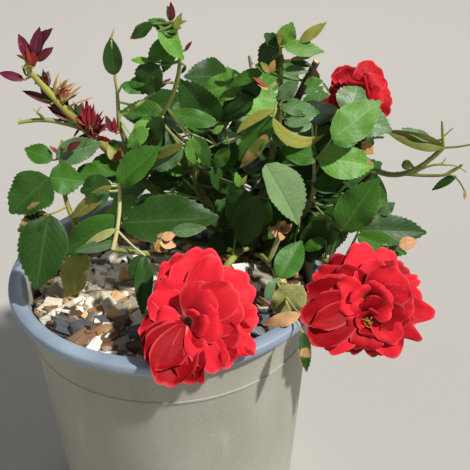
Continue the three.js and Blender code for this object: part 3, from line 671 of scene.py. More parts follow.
canes = {
    "cane_left": ((58, 38, 224), (-35, 10, 312), (-4, 0, -6), (8, 6.4)),
    "cane_left_low": ((57, 35, 212), (-64, -25, 274), (2, 0, 3), (6.6, 4.6)),
    "cane_fork": ((-30, 11, 306), (-31, 8, 337), (3, 0, 0), (4.8, 4)),
    "cane_middle": ((60, 41, 235), (-2, 15, 341), (-7, 2, 2), (7, 4.6)),
    "cane_inner": ((60, 33, 230), (22, 20, 279), (-2, -1, 2), (5.4, 4)),
    "cane_crown": ((65, 44, 237), (43, 38, 321), (-2, 5, 0), (7, 5)),
    "cane_front": ((59, 32, 209), (-35, -48, 268), (4, -6, 1), (5.4, 3.6)),
    "cane_cut": ((70, 42, 238), (110, 10, 384), (-6, 6, -4), (8, 5)),
    "cane_right_top": ((69, 34, 238), (85, 20, 335), (1, 3, 0), (7, 4.6)),
    "cane_right": ((74, 35, 226), (109, -4, 282), (5, -1, -4), (6.4, 4.2)),
    "cane_far_right": ((75, 38, 214), (161, 20, 294), (2, 2, -7), (6.2, 4.8)),
    "cane_low_front": ((68, 30, 213), (80, -14, 229), (0, 0, 3), (4.4, 3)),
    "cane_left_bloom": ((64, 29, 221), (29.5, -75.7, 234.8), (0, -4, 14), (5.8, 4.4)),
    "cane_right_bloom": ((74, 32, 212), (147.5, -35.3, 226.6), (-1, 0, 13), (6, 4.8)),
    "cane_back_bloom": ((74, 43, 228), (139.8, 25.8, 322.9), (9, 5, -8), (6.2, 4.4)),
    "cane_back_left": ((60, 45, 213), (4, 92, 288), (-2, 2, -4), (6.4, 4.4)),
    "cane_back": ((66, 47, 222), (72, 114, 294), (0, 6, -6), (6.4, 4.4)),
    "cane_back_right": ((72, 45, 213), (134, 90, 280), (4, 2, -6), (6.4, 4.4)),
}
barkLook = {
    "nodeGap": 24, "nodeWide": 2.4, "swell": 0.15, "crook": 0.5, "ridge": 0.035, "ridges": 5,
    "twist": 0.15, "seed": 57, "short": 40, "thin": 6,   # a cane no thicker than this is young
}
# Prickles: the gap between them, their length, where on a cane or stem they start
prickleLook = {
    "cane": (12, (3.6, 5.4), 0.1), "stem": (11, (2.6, 4.2), 0.05), "wide": 1.25, "tip": 0.06,
    "sunk": 0.4, "back": (0.15, 0.5), "least": 1.9,   # a stem of a smaller radius has none
}
rods = {steps: rodTemplate(10, steps) for steps in (6, 12, 48)}
stalkRod, thorn = rodTemplate(5, 5), rodTemplate(6, 3)
prickles = Piece("prickles")


def rodPoints(template, curve, radii, relief=0.0, phase=0.0):
    p = template["points"]
    t = p[:, 2] + 0.5
    along = curve.along(t)
    lean = vec(1, 0, 0) if abs(unit(curve.tip - curve.foot)[2]) > 0.8 else vec(0, 0, 1)
    side = normed(np.cross(along, lean))
    other = np.cross(side, along)
    run = t * curve.length
    radius = radii[0] + (radii[1] - radii[0]) * t
    middle = curve.at(t)
    if relief:
        gap, crook = barkLook["nodeGap"], relief * barkLook["crook"]
        off = (run + phase * gap + gap / 2) % gap - gap / 2
        node = np.exp(-(off / barkLook["nodeWide"]) ** 2)
        turn = barkLook["ridges"] * np.arctan2(p[:, 1], p[:, 0]) + run * barkLook["twist"]
        radius = radius * (1 + relief * barkLook["swell"] * node + relief * barkLook["ridge"] * np.sin(turn))
        sway = crook * np.abs((run / gap + phase) % 2 - 1)
        middle = middle + side * (sway - 0.5 * crook)[:, None]
    return middle + side * (radius * p[:, 0])[:, None] + other * (radius * p[:, 1])[:, None]


def addPrickles(curve, radii, dice, gap, size, start):
    count = int(curve.length * (1 - start) / gap)
    p = thorn["points"]
    u = p[:, 2] + 0.5
    width = prickleLook["wide"] * (1 - u) ** 1.4 + prickleLook["tip"]
    for k in range(count):
        t = start + (1 - start) * (k + dice.between(0.2, 0.8)) / count
        along = curve.along(t)
        side = unit(np.cross(along, vec(0.3, 0.2, 1)))
        out = turned(side, along, dice.between(0, 2 * math.pi))
        long = dice.between(*size)
        tip = unit(out - along * dice.between(*prickleLook["back"]))
        root = curve.at(t) + out * (radii[0] + (radii[1] - radii[0]) * t - prickleLook["sunk"])
        spine = root + out * (u * long)[:, None] + (tip - out) * (u ** 2 * long)[:, None]
        across = np.cross(out, along) * (p[:, 1] * width * 0.7)[:, None]
        points = spine + along * (p[:, 0] * width * 1.7)[:, None] + across
        prickles.add(thorn, points, skins["prickle"], shade=dice.roll())


def makeStock():
    # The rootstock: a knobbly spun body
    levels = np.linspace(0, len(stock["radii"]) - 1, 28)
    rise = (stock["top"] - stock["bottom"]) / (len(stock["radii"]) - 1)
    widths = np.interp(levels, range(len(stock["radii"])), stock["radii"])
    sides = [(w, stock["bottom"] + rise * l) for w, l in zip(widths, levels)]
    bm = bmesh.new()
    spun(bm, [(0, stock["bottom"]), *sides, (0, stock["top"])], 36)
    for v in bm.verts:
        turn = math.atan2(v.co.y, v.co.x)
        knob = 1 + 0.07 * math.sin(3 * turn + v.co.z * 0.2) + 0.05 * math.sin(7 * turn - v.co.z * 0.5)
        v.co.x, v.co.y = stock["x"] + v.co.x * knob, stock["y"] + v.co.y * knob
    return asTemplate(bm)


def makeCanes():
    dice = Dice(barkLook["seed"])
    green, woody = Piece("green_canes"), Piece("woody_base")
    curves = {}
    for name, (*run, thick) in canes.items():
        curve = curves[name] = Bow(*run)
        radii = [w / 2 for w in thick]
        target = woody if name == "cane_cut" else green
        bark = "wood" if name == "cane_cut" else "green" if thick[0] > barkLook["thin"] else "young"
        rod = rods[12 if curve.length < barkLook["short"] else 48]
        points = rodPoints(rod, curve, radii, 1.0, dice.roll())
        target.add(rod, points, skins["bark_" + bark], shade=dice.roll())
        addPrickles(curve, radii, dice, *prickleLook["cane"])
    end, on = curves["cane_cut"].tip, curves["cane_cut"].along(1.0)
    woody.add(rods[6], rodPoints(rods[6], Bow(end, end + on * 0.5), [2.1, 2.0]), skins["cut_pith"], shade=0.6)
    green.build("green_canes", [n for n in canes if n != "cane_cut"])
    base = makeStock()
    woody.add(base, base["points"], skins["bark_wood"], shade=0.3)
    woody.build("bark", ["cane_cut", "rootstock"])
    return curves


caneCurves = makeCanes()
print("canes", len(caneCurves))


# Leaves

leafForm = {
    "thick": 0.011, "least": 0.34, "fold": 0.28, "curl": 0.10, "tooth": 0.027, "lean": 0.4,
    "wave": 0.055, "quilt": 0.005, "ribs": 8, "ribSlope": 2.7, "petiole": (1.0, 0.7),
    "stemRelief": 0.8, "hip": 0.55, "headStalks": ((1.8, 1.6), (1.8, 2.2)),
    "sun": (-85, 40),   # the way most leaves face
}
# How far leaves that follow the rule may stand from the rootstock, and how low and high
crown = {"reach": 148, "bottom": 236, "top": 392}
blades = {"long": bladeTemplate(6, 28), "short": bladeTemplate(4, 18), "tiny": bladeTemplate(2, 10)}
bead = beadTemplate()
redTints = ("bronze", "red", "mauve", "rust", "tan", "straw")
# Tufts: how many spikes, how far they spread, their length, width over length, and tints
tufts = {
    "redSpikes": (20, 75, (9, 22), (0.10, 0.2), ["red", "red", "bronze"]),
    "tanSpikes": (13, 60, (8, 18), (0.12, 0.2), ["tan", "tan", "red", "yellow"]),
    "bracts": (9, 50, (7, 13), (0.4, 0.62), ["bronze", "dark", "bronze"]),
    "tipBases": (9, 24, (12, 18), (0.14, 0.24), ["red", "tan", "red"]),
    "spentHead": (26, 130, (5, 9), (0.6, 0.9), ["straw", "tan", "straw"]),
    "budSpikes": (6, 35, (6, 12), (0.2, 0.4), ["yellow", "olive", "bronze"]),
}
placed, handPlaced, limbs = [], [], list(caneCurves.values())
twigs = Piece("twigs")


def bladePoints(template, base, direction, length, ratio, face, dice,
                teeth=1.0, curl=1.0, fold=1.0, bend=0.0, arc=0.0):
    p = template["points"]
    a, t = p[:, 0], (p[:, 1] + 1) / 2   # a from -1 to 1 across the blade, t from 0 to 1 along it
    up = unit(face - direction * np.dot(face, direction))
    side = np.cross(direction, up)
    # Its outline, where every other row of points stands out as a tooth
    row = np.round(t * template["rows"])
    rim = np.abs(a) ** 4
    odd = np.where(row % 2 == 1, 1.0, -1.0) * (row > 1) * (row < template["rows"])
    outline = np.sin(np.pi * np.clip(t, 1e-4, 1) ** 0.8) ** 0.75
    outline = np.maximum(outline * (1 - 0.25 * np.clip(t - 0.8, 0, 1) / 0.2), 0.03 * (t < 0.5) + 0.012)
    half = length * ratio / 2 * outline * (1 + leafForm["tooth"] * teeth * odd * rim)
    ahead = length * (t + leafForm["lean"] * teeth / template["rows"] * odd * rim * (t < 0.97))
    # How far it stands off a flat blade: waves, fold, droop, thickness and the quilting of the veins
    phases = [dice.between(0, 6.28) for _ in range(3)]
    wave = np.sin(8 * t + phases[0] + 1.5 * np.sign(a)) + 0.5 * np.sin(15 * t + phases[2] + np.sign(a))
    wave = leafForm["wave"] * length * ratio * wave * np.abs(a) ** 1.5 * outline
    sweep = (0.05 * math.sin(phases[1]) + bend) * length * t * t
    lift = leafForm["fold"] * fold * np.abs(a) * half - 0.10 * half * a * a
    drop = leafForm["curl"] * curl * length * t * t
    thick = np.maximum(leafForm["least"], leafForm["thick"] * length) / 2 * p[:, 2]
    ribs = np.cos(2 * np.pi * (leafForm["ribs"] * t - leafForm["ribSlope"] * np.abs(a)))
    quilt = leafForm["quilt"] * length * ratio * (ribs * (1 - np.abs(a)) * (np.abs(a) > 0.1))
    across, high = a * half + sweep, lift + wave - drop + thick + quilt
    if arc:
        # The blade follows a circle, and turns with it
        turn, radius = arc * ahead / length, length / arc
        ahead, across = (radius * np.sin(turn) - across * np.sin(turn),
                         radius * (1 - np.cos(turn)) + across * np.cos(turn))
    return base + direction * ahead[:, None] + side * across[:, None] + up * high[:, None]


def towardSun(dice, sides, low, high):
    azimuth, rise = leafForm["sun"]
    return heading(azimuth + dice.either(sides), rise + dice.between(low, high))


def addStalk(foot, tip, radii, skin, sag=0.05):
    curve = Bow(foot, tip, (0, 0, -sag * np.linalg.norm(tip - foot)))
    twigs.add(stalkRod, rodPoints(stalkRod, curve, radii), skin, shade=0.5)


class Mass:
    # One foliage mass: its stem, its leaves and its seeded dice
    def __init__(self, name, look):
        cane, end, bow, self.thick, bark = look["stem"]
        self.name, self.look = name, look
        self.cane, self.skin = caneCurves[cane], skins["bark_" + bark]
        self.stem = Bow(self.cane.tip, end, bow)
        self.leaves = Piece("leaves_" + name.replace("foliage_", ""))
        self.dice = Dice(sum(map(ord, name)))

    def leaf(self, base, direction, length, ratio, tint, form=None, face=None, careful=False):
        # False where a careful leaf would touch one that is there
        template = blades["long" if length > 30 else "short" if length > 14 else "tiny"]
        dice, form = self.dice, form or {}
        if face is None:
            face = towardSun(dice, 12, -10, 10)
        if "face" in form:
            face = heading(*form["face"])
        red = tint in redTints
        teeth = form.get("teeth", 0.0 if ratio < 0.3 else 0.5 if red else 1.0)
        curl = form.get("curl", dice.between(0.5, 1.6))
        fold = form.get("fold", dice.between(0.5, 1.5))
        points = bladePoints(template, base, direction, length, ratio, face, dice, teeth, curl, fold,
                             form.get("bend", 0.0), form.get("arc", 0.0))
        tree = BVHTree.FromPolygons([Vector(q) for q in points], template["faces"])
        centre, reach = base + direction * length / 2, length / 2 + 2
        if careful:
            for other, middle, far in placed:
                if np.linalg.norm(middle - centre) < far + reach and tree.overlap(other):
                    return False
        else:
            handPlaced.append(tree)
        placed.append((tree, centre, reach))
        under = leafSkins["underRed" if red else "under"]
        dry = form.get("dry", 0.0 if red else dice.roll() ** 2 * 0.6)
        self.leaves.add(template, points, leafSkins[tint], under, dice.roll(), template["uv"], dry)
        return True

    def tuft(self, foot, azimuth, rise, kind):
        # Narrow spikes and bracts that spread round one direction
        count, spread, long, wide, tints = tufts[kind]
        dice = self.dice
        for k in range(count):
            turn, lift = spread * (2 * dice.roll() - 1), spread * (dice.roll() - 0.5)
            direction = heading(azimuth + turn, rise + lift)
            length = dice.between(*long)
            start = foot + direction * dice.between(0, 2)
            face = heading(dice.between(-150, -30), dice.between(0, 60))
            curl, bend = dice.between(-2.2, 2.8), dice.either(0.22)
            form = {"teeth": 0.0, "curl": curl, "bend": bend, "dry": 0.0}
            self.leaf(start, direction, length, dice.between(*wide), tints[k % len(tints)], form, face)


# From a place in the picture to a point, and back

eye, halfFrame = vec(*view["place"]), view["frame"] / 2


def lensAxes(pitch, roll):
    # Unit vectors to the right and down in the picture, and ahead
    high = vec(0, math.sin(pitch), math.cos(pitch))
    flat, ahead = vec(1, 0, 0), vec(0, math.cos(pitch), -math.sin(pitch))
    return np.array([flat * math.cos(roll) + high * math.sin(roll),
                     flat * math.sin(roll) - high * math.cos(roll), ahead])


lens = lensAxes(math.radians(view["pitch"]), math.radians(view["roll"]))


def project(point):
    # Where a point shows in the picture, in its pixels
    x, y, ahead = lens @ (point - eye)
    return halfFrame + view["focal"] * x / ahead, halfFrame + view["focal"] * y / ahead


def atDepth(x, y, deep):
    # The point of a given depth (its y) that shows at a pixel
    sight = vec(x - halfFrame, y - halfFrame, view["focal"]) @ lens
    return eye + sight * ((deep - eye[1]) / sight[1])


def onLimbs(start, steps):
    return np.concatenate([limb.at(np.linspace(start, 1, steps)) for limb in limbs])


def limbAt(x, y):
    # The point on a limb that shows nearest to a pixel
    return min(onLimbs(0, 60), key=lambda q: math.dist(project(q), (x, y)))


def nearestLimb(point):
    return min(onLimbs(0.05, 40), key=lambda q: np.linalg.norm(q - point))


# Leaves that follow the seeded rule: the rise, stalk and size of a compound leaf, how often it has
# one pair of leaflets only, its droop and gap from pair to pair, how far the pairs spread, their
# size beside the end leaflet's, and width over length
wildForm = {
    "rise": (0, 45), "stalk": (14, 24), "size": (34, 50), "onePair": 0.35, "droop": 9, "gap": 0.46,
    "splay": 62, "pairSize": (0.7, 0.1), "ratio": 0.62, "thick": (0.8, 0.7), "twigRise": (10, 30),
    "twigFrom": 0.2, "twigSpan": 0.5, "twigTurn": 10, "twigThick": (1.5, 1.0), "twigSwing": 70,
    "tints": ["dark", "mid", "dark", "mid", "dark", "light", "dark", "mid", "grey"],
}


def insideCrown(point):
    away = math.hypot(point[0] - stock["x"], point[1] - stock["y"])
    return away < crown["reach"] and crown["bottom"] < point[2] < crown["top"]


def inOutline(point):
    x, y = project(point)
    inside = False
    for (x1, y1), (x2, y2) in zip(crownOutline, crownOutline[1:] + crownOutline[:1]):
        if (y1 > y) != (y2 > y) and x < (x2 - x1) * (y - y1) / (y2 - y1) + x1:
            inside = not inside
    return inside


def fits(base, direction, length):
    # The crown keeps the outline that shows, and the leaflet covers none of those placed one by one
    spots = [base + direction * length * t for t in (0.25, 0.6, 1.0)]
    if not all(inOutline(q) for q in spots):
        return False
    sights = [(Vector(q), Vector(unit(q - eye))) for q in spots]
    return all(tree.ray_cast(*sight)[0] is None for sight in sights for tree in handPlaced)


def compoundLeaf(dice, joint, azimuth):
    form = wildForm
    rise, stalk, size = dice.each((form["rise"], form["stalk"], form["size"]))
    pairs = 1 if dice.roll() < form["onePair"] else 2
    least, more = form["pairSize"]
    place, nodes, leaflets = joint, [joint], []
    for k in range(pairs + 1):
        droop = rise - form["droop"] * k
        place = place + heading(azimuth, droop) * (stalk if k == 0 else form["gap"] * size)
        nodes.append(place)
        if k == pairs:
            leaflets.append((place, heading(azimuth + dice.either(8), droop - 8), size))
            break
        for turn in (-form["splay"], form["splay"]):
            aside = heading(azimuth + turn + dice.either(9), droop * 0.5 + dice.between(-14, 8))
            leaflets.append((place, aside, size * (least + more * k)))
    return nodes, leaflets


def wildLeaves(rule, curve):
    count, start, azimuth, swing, seed = rule
    dice = Dice(seed)
    for k in range(count):
        at = start + (1 - start) * ((k + 0.5) / count)
        share = (k * 0.618 + 0.3) % 1
        turn = azimuth + swing * (2 * share - 1) + dice.either(12)
        yield compoundLeaf(dice, curve.at(at), turn)


def growCompound(mass, nodes, leaflets):
    end, direction, size = leaflets[-1]
    if not insideCrown(end + direction * size) or not all(fits(*leaflet) for leaflet in leaflets):
        return
    ratio, tint = wildForm["ratio"], mass.dice.pick(wildForm["tints"])
    face = towardSun(mass.dice, 30, -5, 30)
    if not mass.leaf(end, direction, size, ratio, tint, None, face, True):
        return
    for foot, tip in zip(nodes, nodes[1:]):
        addStalk(foot, tip, wildForm["thick"], skins["bark_pale"], 0.0)
    for place, aside, length in leaflets[:-1]:
        if insideCrown(place + aside * length) and fits(place, aside, length):
            mass.leaf(place, aside, length, ratio, tint, None, face, True)


# The foliage masses. Each has a stem: the cane that it grows from, its end, its bow, its thickness
# and its bark. What the photograph shows of it is placed one by one:
#   sprays: place on the stem, azimuth and rise of the stalk, its length, and its leaflets (azimuth,
#     rise, length, width over length, tint)
#   tufts: place on the stem, azimuth, rise, kind
#   sticks: foot x and y, tip x and y in the picture, depth, rise at the middle, thickness, bark
#   seen: leaflets with foot x and y, tip x and y in the picture, depth, width over length, tint
#   heads: dry flower heads with x, y and depth, and where their stalk's foot shows
# The rest follows the rule: how many leaves, from where on the stem, azimuth, swing and seed. `deep`
# leaves sit on the cane, and `twigs` have a count, azimuth, swing, length, leaves and seed.
masses = {
    "foliage_left_shoot": {
        "stem": ("cane_left", (-86, -15.5, 392), (-4, 0, 2), (7.2, 3.4), "shoot"), "slot": "red_shoots",
        "tufts": [
            (0.93, 120, 62, "tipBases"), (0.66, 20, 48, "tanSpikes"), (0.6, 45, 40, "tanSpikes"),
            (0.62, 150, 52, "bracts"), (0.53, 150, 45, "bracts"), (0.46, 160, 45, "bracts"),
            (0.4, 140, 50, "bracts"), (0.3, 60, 50, "redSpikes"), (0.23, 20, 40, "redSpikes"),
            (0.27, 110, 60, "redSpikes"), (0.29, -70, 30, "redSpikes"), (0.2, -170, 0, "bracts"),
            (0.74, 130, 60, "bracts"),
        ],
        "seen": [
            (34, 56, 49, 25, -14, 0.46, "mauve",
             {"bend": 0.16, "fold": 2.0, "curl": 0.4, "face": (-120, 35)}),
            (35, 54, 38, 27, -17, 0.4, "mauve", {"fold": 1.6}),
            (29, 58, 17, 35, -15, 0.46, "mauve", {"bend": 0.14, "fold": 2.0}),
            (37, 61, 51, 47, -14, 0.46, "bronze", {"curl": 2.5}), (30, 61, 16, 54, -15, 0.24, "tan"),
            (31, 66, 27, 45, -18, 0.18, "rust"), (33, 67, 33, 44, -18, 0.18, "red"),
            (34, 67, 38, 46, -17, 0.2, "rust"), (30, 64, 22, 49, -17, 0.18, "rust"),
            (32, 68, 30, 40, -16, 0.16, "red"),
            (24, 80, -2, 72, -14, 0.38, "mauve", {"curl": 1.6, "fold": 1.6}),
            (27, 75, 31, 66, -14, 0.25, "bronze"), (26, 76, 22, 66, -14, 0.2, "bronze"),
            (51, 104, 23, 88, -8, 0.27, "bronze", {"fold": 2.0}),
            (72, 120, 47, 107, -3, 0.34, "bronze", {"fold": 2.0}), (76, 122, 58, 118, -4, 0.4, "dark"),
            (62, 100, 59, 80, -8, 0.2, "straw"), (66, 100, 81, 84, -7, 0.16, "straw"),
            (74, 104, 93, 99, -6, 0.12, "tan", {"bend": -0.2}), (84, 118, 82, 103, -1, 0.16, "red"),
            (92, 122, 94, 104, 0, 0.16, "red"), (96, 126, 98, 112, 0, 0.16, "bronze"),
            (88, 126, 80, 110, -4, 0.24, "red"), (88, 126, 74, 117, -4, 0.24, "rust"),
            (90, 126, 88, 108, -5, 0.2, "red"), (92, 128, 97, 114, -4, 0.22, "rust"),
            (90, 128, 84, 137, -4, 0.24, "red"), (92, 130, 94, 138, -3, 0.24, "rust"),
            (80, 128, 73, 138, 0, 0.2, "bronze"), (112, 132, 106, 116, 4, 0.4, "bronze"),
            (116, 134, 113, 117, 4, 0.25, "red"), (112, 160, 108, 146, 4, 0.4, "pale"),
            (116, 162, 121, 148, 4, 0.36, "rust"),
        ],
    },
    "foliage_left": {
        "stem": ("cane_left_low", (-70, -8, 335), (-5, 0, 0), (4.2, 1.8), "shoot"),
        "sprays": [
            (0.25, -130, 0, 17, [(-105, -50, 54, 0.66, "dark"), (-155, -20, 25, 0.6, "dark")]),
            (0.6, -135, 10, 10, [(-145, -30, 37, 0.95, "dark"), (0, -5, 24, 0.95, "mid")]),
            (0.8, -175, -15, 6, [(170, 20, 22, 0.7, "mid")]),
        ],
        "sticks": [
            (79, 138, 18, 123, -8, 4.5, (4.6, 2.4), "young"),
            (44, 124, 37, 113, -9, 1, (2.6, 1.6), "young"), (37, 113, 33, 108, -9, 0, (1.2, 0.6), "pale"),
            (37, 112, 41, 107, -9, 0, (1.2, 0.6), "pale"), (22, 122, 19, 117, -8, 0, (1.2, 0.6), "pale"),
            (60, 127, 63, 122, -9, 0, (1.6, 0.8), "pale"),
        ],
        "seen": [
            (56, 157, 100, 143, -12, 0.56, "grey", {"dry": 0.1, "fold": 1.0}),
            (67, 150, 80, 142, -17, 0.5, "bronze"), (58, 153, 50, 146, -10, 0.4, "rust"),
        ],
        "wild": (2, 0.3, 75, 35, 12),
    },
    "foliage_centre": {
        "stem": ("cane_front", (-29, -30, 311), (2, 0, 0), (3.2, 2.4), "pale"),
        "sprays": [(0.3, -20, -40, 27, [(-95, -50, 42, 0.32, "dark"), (-140, -35, 20, 0.6, "dark")])],
        "seen": [
            (122, 223, 219, 219, -18, 0.53, "dark", {"dry": 0.5, "fold": 1.4, "curl": 0.5}),
            (118, 218, 55, 259, -38, 0.4, "mid", {"dry": 0.0, "fold": 1.0}),
            (87, 254, 61, 300, -33, 0.5, "yellow", {"dry": 0.2, "face": (-110, 30)}),
            (116, 243, 72, 250, -46, 0.26, "grey", {"dry": 0.0}),
            (116, 229, 83, 246, -45, 0.22, "pale", {"teeth": 0.2, "dry": 0.0}),
            (119, 184, 158, 147, -32, 0.62, "mid", {"face": (-80, 60), "fold": 1.4, "dry": 0.0}),
            (183, 148, 150, 170, -22, 0.55, "grey", {"fold": 1.6}),
            (184, 144, 152, 158, -24, 0.24, "olive", {"dry": 0.3}),
            (111, 184, 79, 192, -30, 0.78, "dark", {"dry": 0.0}),
            (111, 186, 69, 222, -33, 0.25, "yellow", {"dry": 0.6, "fold": 1.6}),
            (109, 191, 88, 214, -36, 0.42, "grey", {"dry": 0.0}), (148, 129, 125, 146, -8, 0.6, "light"),
            (163, 117, 146, 148, -8, 0.56, "dark"), (160, 240, 176, 247, -36, 0.7, "straw"),
            (158, 240, 163, 253, -37, 0.8, "tan"), (162, 238, 175, 234, -36, 0.7, "straw"),
            (160, 243, 152, 249, -38, 0.7, "tan"), (172, 232, 206, 228, -34, 0.4, "grey", {"dry": 0.8}),
        ],
    },
    "foliage_fork": {
        "stem": ("cane_fork", (-30, 6, 365), (0, 0, 0), (3.6, 2.4), "pale"),
        "sprays": [
            (0.3, -35, -45, 18, [(35, 20, 21, 0.75, "light")]),
            (0.95, -25, 60, 9, [(-15, -20, 15, 0.6, "mid")]),
            (0.35, 15, 30, 34, [(20, 35, 12, 0.3, "bronze")], 1.4),
        ],
        "seen": [
            (114, 75, 110.5, 37, 0, 0.5, "dark", {"teeth": 0.2, "dry": 0.0, "curl": 0.3, "fold": 1.6}),
            (111, 40, 114, 27, 0, 0.16, "pale"),
        ],
        "wild": (1, 0.4, 120, 20, 14),
    },
    "foliage_top": {
        "stem": ("cane_middle", (12, 0, 416), (9, 0, 0), (3.8, 2.2), "young"),
        "seen": [
            (158, 31, 186, 58, -2, 0.5, "light"), (170, 30, 149, 18, 4, 0.62, "mid"),
            (153, 24, 129, 39, 2, 0.52, "dark", {"dry": 0.9}), (176, 35, 157, 22, 1, 0.6, "mid"),
            (174, 42, 145, 60, 4, 0.6, "mid"), (173, 45, 163, 74, 2, 0.42, "mid"),
            (159, 65, 138, 94, 0, 0.85, "dark"), (149, 61, 131, 60, 3, 0.5, "light"),
            (147, 79, 127, 86, 3, 0.55, "mid"), (173, 20, 171, 2, 0, 0.36, "bronze"),
            (172, 22, 167, 6, 1, 0.4, "dark"), (175, 30, 181, 13, -1, 0.4, "yellow"),
            (177, 24, 187, 21, 0, 0.34, "yellow"), (168, 32, 181, 27, -1, 0.5, "mid"),
            (185, 51, 191, 41, 0, 0.34, "bronze"), (186, 66, 181, 74, 0, 0.4, "dark"),
        ],
        "wild": (2, 0.35, 80, 45, 15),
    },
    "foliage_crown": {
        "stem": ("cane_crown", (48, 32, 360), (0, 0, 0), (4.4, 2.6), "green"),
        "seen": [
            (218, 124, 178, 82, 14, 0.66, "dark", {"teeth": 1.5, "face": (-130, 35)}),
            (217, 123, 163, 113, 10, 0.34, "mid", {"fold": 0.6}), (245, 83, 199, 93, 22, 0.62, "light"),
            (253, 98, 217, 120, 12, 0.62, "dark"), (257, 79, 244, 102, 16, 0.75, "dark"),
            (263, 71, 227, 82, 12, 0.36, "mid", {"bend": -0.15}), (233, 77, 227, 66, 20, 0.5, "light"),
            (213, 133, 224, 126, 0, 0.5, "light"), (238, 146, 222, 164, 2, 0.5, "dark"),
            (229, 148, 214, 168, -4, 0.55, "mid"), (190, 138, 196, 165, -10, 0.56, "light"),
            (195, 137, 213, 166, -6, 0.46, "dark"),
        ],
        "wild": (1, 0.2, 75, 60, 16), "more": (12, 0.1, 60, 150, 61), "deep": (20, 0.35, 80, 170, 81),
    },
    "foliage_inner": {
        "stem": ("cane_inner", (21, 14, 322), (0, 0, 0), (3.4, 2.2), "green"),
        "sprays": [
            (1, 180, 80, 3, [(-75, -50, 23, 0.55, "light")]),
            (0.95, -160, 45, 21, [(-115, -40, 22, 0.6, "dark")]),
            (0.85, -145, -10, 35, [(30, 25, 28, 0.55, "dark")]),
            (0.15, -15, 0, 33, [(-130, -40, 30, 0.62, "dark"), (-60, -45, 42, 0.52, "dark")]),
            (0.75, 0, 5, 32, [(-150, -25, 24, 0.7, "mid")]),
            (0.1, -40, -50, 42, [(-125, -45, 21, 0.8, "dark"), (-15, -30, 22, 0.7, "dark")]),
        ],
        "seen": [
            # the many dark leaves here are partly painted shade, filling where the inside of the crown lies
            # in shadow
            (250, 192, 226, 226, -16, 0.75, "dark"), (257, 196, 240, 249, -22, 0.5, "dark"),
            (240, 176, 222, 206, 2, 0.55, "dark"), (212, 168, 229, 196, -2, 0.5, "dark"),
            (236, 232, 262, 247, -14, 0.5, "dark"), (205, 214, 234, 225, -6, 0.5, "dark"),
            (284, 250, 270, 273, -20, 0.5, "dark"), (262, 196, 258, 240, 4, 0.5, "dark"),
            (240, 187, 236, 173, -14, 0.5, "light"), (241, 185, 247, 176, -14, 0.4, "yellow"),
        ],
        "heads": [(281, 231, -26, 269, 262)],
        "wild": (2, 0.3, 150, 30, 17), "more": (14, 0.0, 20, 120, 62), "deep": (20, 0.3, 30, 170, 82),
    },
    "foliage_right_top": {
        "stem": ("cane_right_top", (84, 0, 398), (1, 0, 0), (4.4, 2.2), "young"),
        "tufts": [(0.62, 150, 60, "budSpikes"), (0.7, 120, 50, "budSpikes"), (0.97, 90, 70, "budSpikes")],
        "seen": [
            (280, 44, 257, 68, 5, 0.78, "dark"), (279, 46, 265, 33, 7, 0.8, "dark"),
            (283, 46, 291, 22, 2, 0.8, "light", {"dry": 0.7}), (300, 42, 326, 22, -1, 0.36, "yellow"),
            (284, 47, 325, 50, -3, 0.42, "light"), (281, 52, 271, 76, 2, 0.5, "mid"),
            (285, 70, 309, 71, 0, 0.46, "grey"), (290, 60, 314, 55, 3, 0.25, "yellow", {"dry": 0.8}),
            (290, 61, 313, 65, 5, 0.36, "dark"), (270, 73, 261, 62, -4, 0.45, "yellow"),
            (270, 73, 275, 60, -4, 0.5, "tan"), (269, 74, 257, 66, -4, 0.3, "olive"),
            (268, 88, 253, 77, -4, 0.22, "rust"), (269, 90, 257, 84, -5, 0.22, "straw"),
            (279, 99, 297, 81, -3, 0.66, "grey"), (280, 105, 321, 112, -5, 0.44, "mid", {"dry": 0.0}),
            (286, 124, 317, 115, -10, 0.42, "grey"), (305, 84, 323, 80, 8, 0.66, "mid"),
            (273, 118, 297, 186, -16, 0.17, "yellow",
             {"arc": -1.6, "dry": 0.45, "fold": 0.5, "teeth": 0.2, "curl": 0.0}),
            (268, 134, 240, 171, -14, 0.25, "olive", {"dry": 0.9, "fold": 0.5}),
            (274, 110, 230, 121, -12, 0.22, "yellow", {"arc": -0.7, "dry": 0.3}),
            (273, 117, 235, 159, -10, 0.46, "mid"), (275, 127, 282, 148, -9, 0.6, "mid"),
            (284, 118, 312, 110, -7, 0.3, "grey", {"teeth": 0.3}), (314, 161, 284, 151, -8, 0.55, "mid"),
        ],
        "wild": (2, 0.3, 85, 45, 18), "more": (12, 0.0, 80, 100, 63), "deep": (20, 0.45, 120, 160, 83),
    },
    "foliage_right": {
        "stem": ("cane_right", (109, -10, 318), (1, 0, 0), (3.6, 2.6), "green"),
        "sprays": [
            (1, 0, 20, 3, [(0, -5, 42, 0.66, "light"), (170, 15, 27, 0.62, "mid")]),
            (0.98, -30, 57, 24, [(25, 27, 46, 0.58, "light"), (0, -5, 19, 0.7, "mid")]),
            (0.95, 25, 50, 42, [(60, 45, 24, 1.1, "grey"), (-10, -20, 34, 0.7, "grey")]),
            # the pale underside colour on this leaf's top is a painted sheen of glare
            (0.95, -175, 0, 35, [(-45, -45, 49, 0.64, "under",
             {"fold": 2.2, "face": (-60, 50), "dry": 0.1})]),
            (0.9, 100, 70, 28, [(-175, 0, 21, 0.5, "grey")]),
            (0.3, -5, -5, 36, [(-5, -15, 21, 0.9, "mid")]), (0.45, -105, -15, 3, [(5, 0, 22, 0.7, "dark")]),
        ],
        "seen": [
            (342, 231, 374, 179, -24, 0.62, "mid"), (380, 214, 394, 202, 0, 0.7, "grey"),
            (359, 230, 429, 231, -8, 0.46, "dark", {"dry": 0.0, "fold": 0.8, "curl": 1.2}),
            (357, 235, 410, 257, -18, 0.4, "mid", {"dry": 0.2}), (399, 246, 418, 240, -22, 0.7, "straw"),
            (372, 172, 386, 212, 6, 0.28, "dark"), (352, 128, 374, 152, 10, 0.9, "dark"),
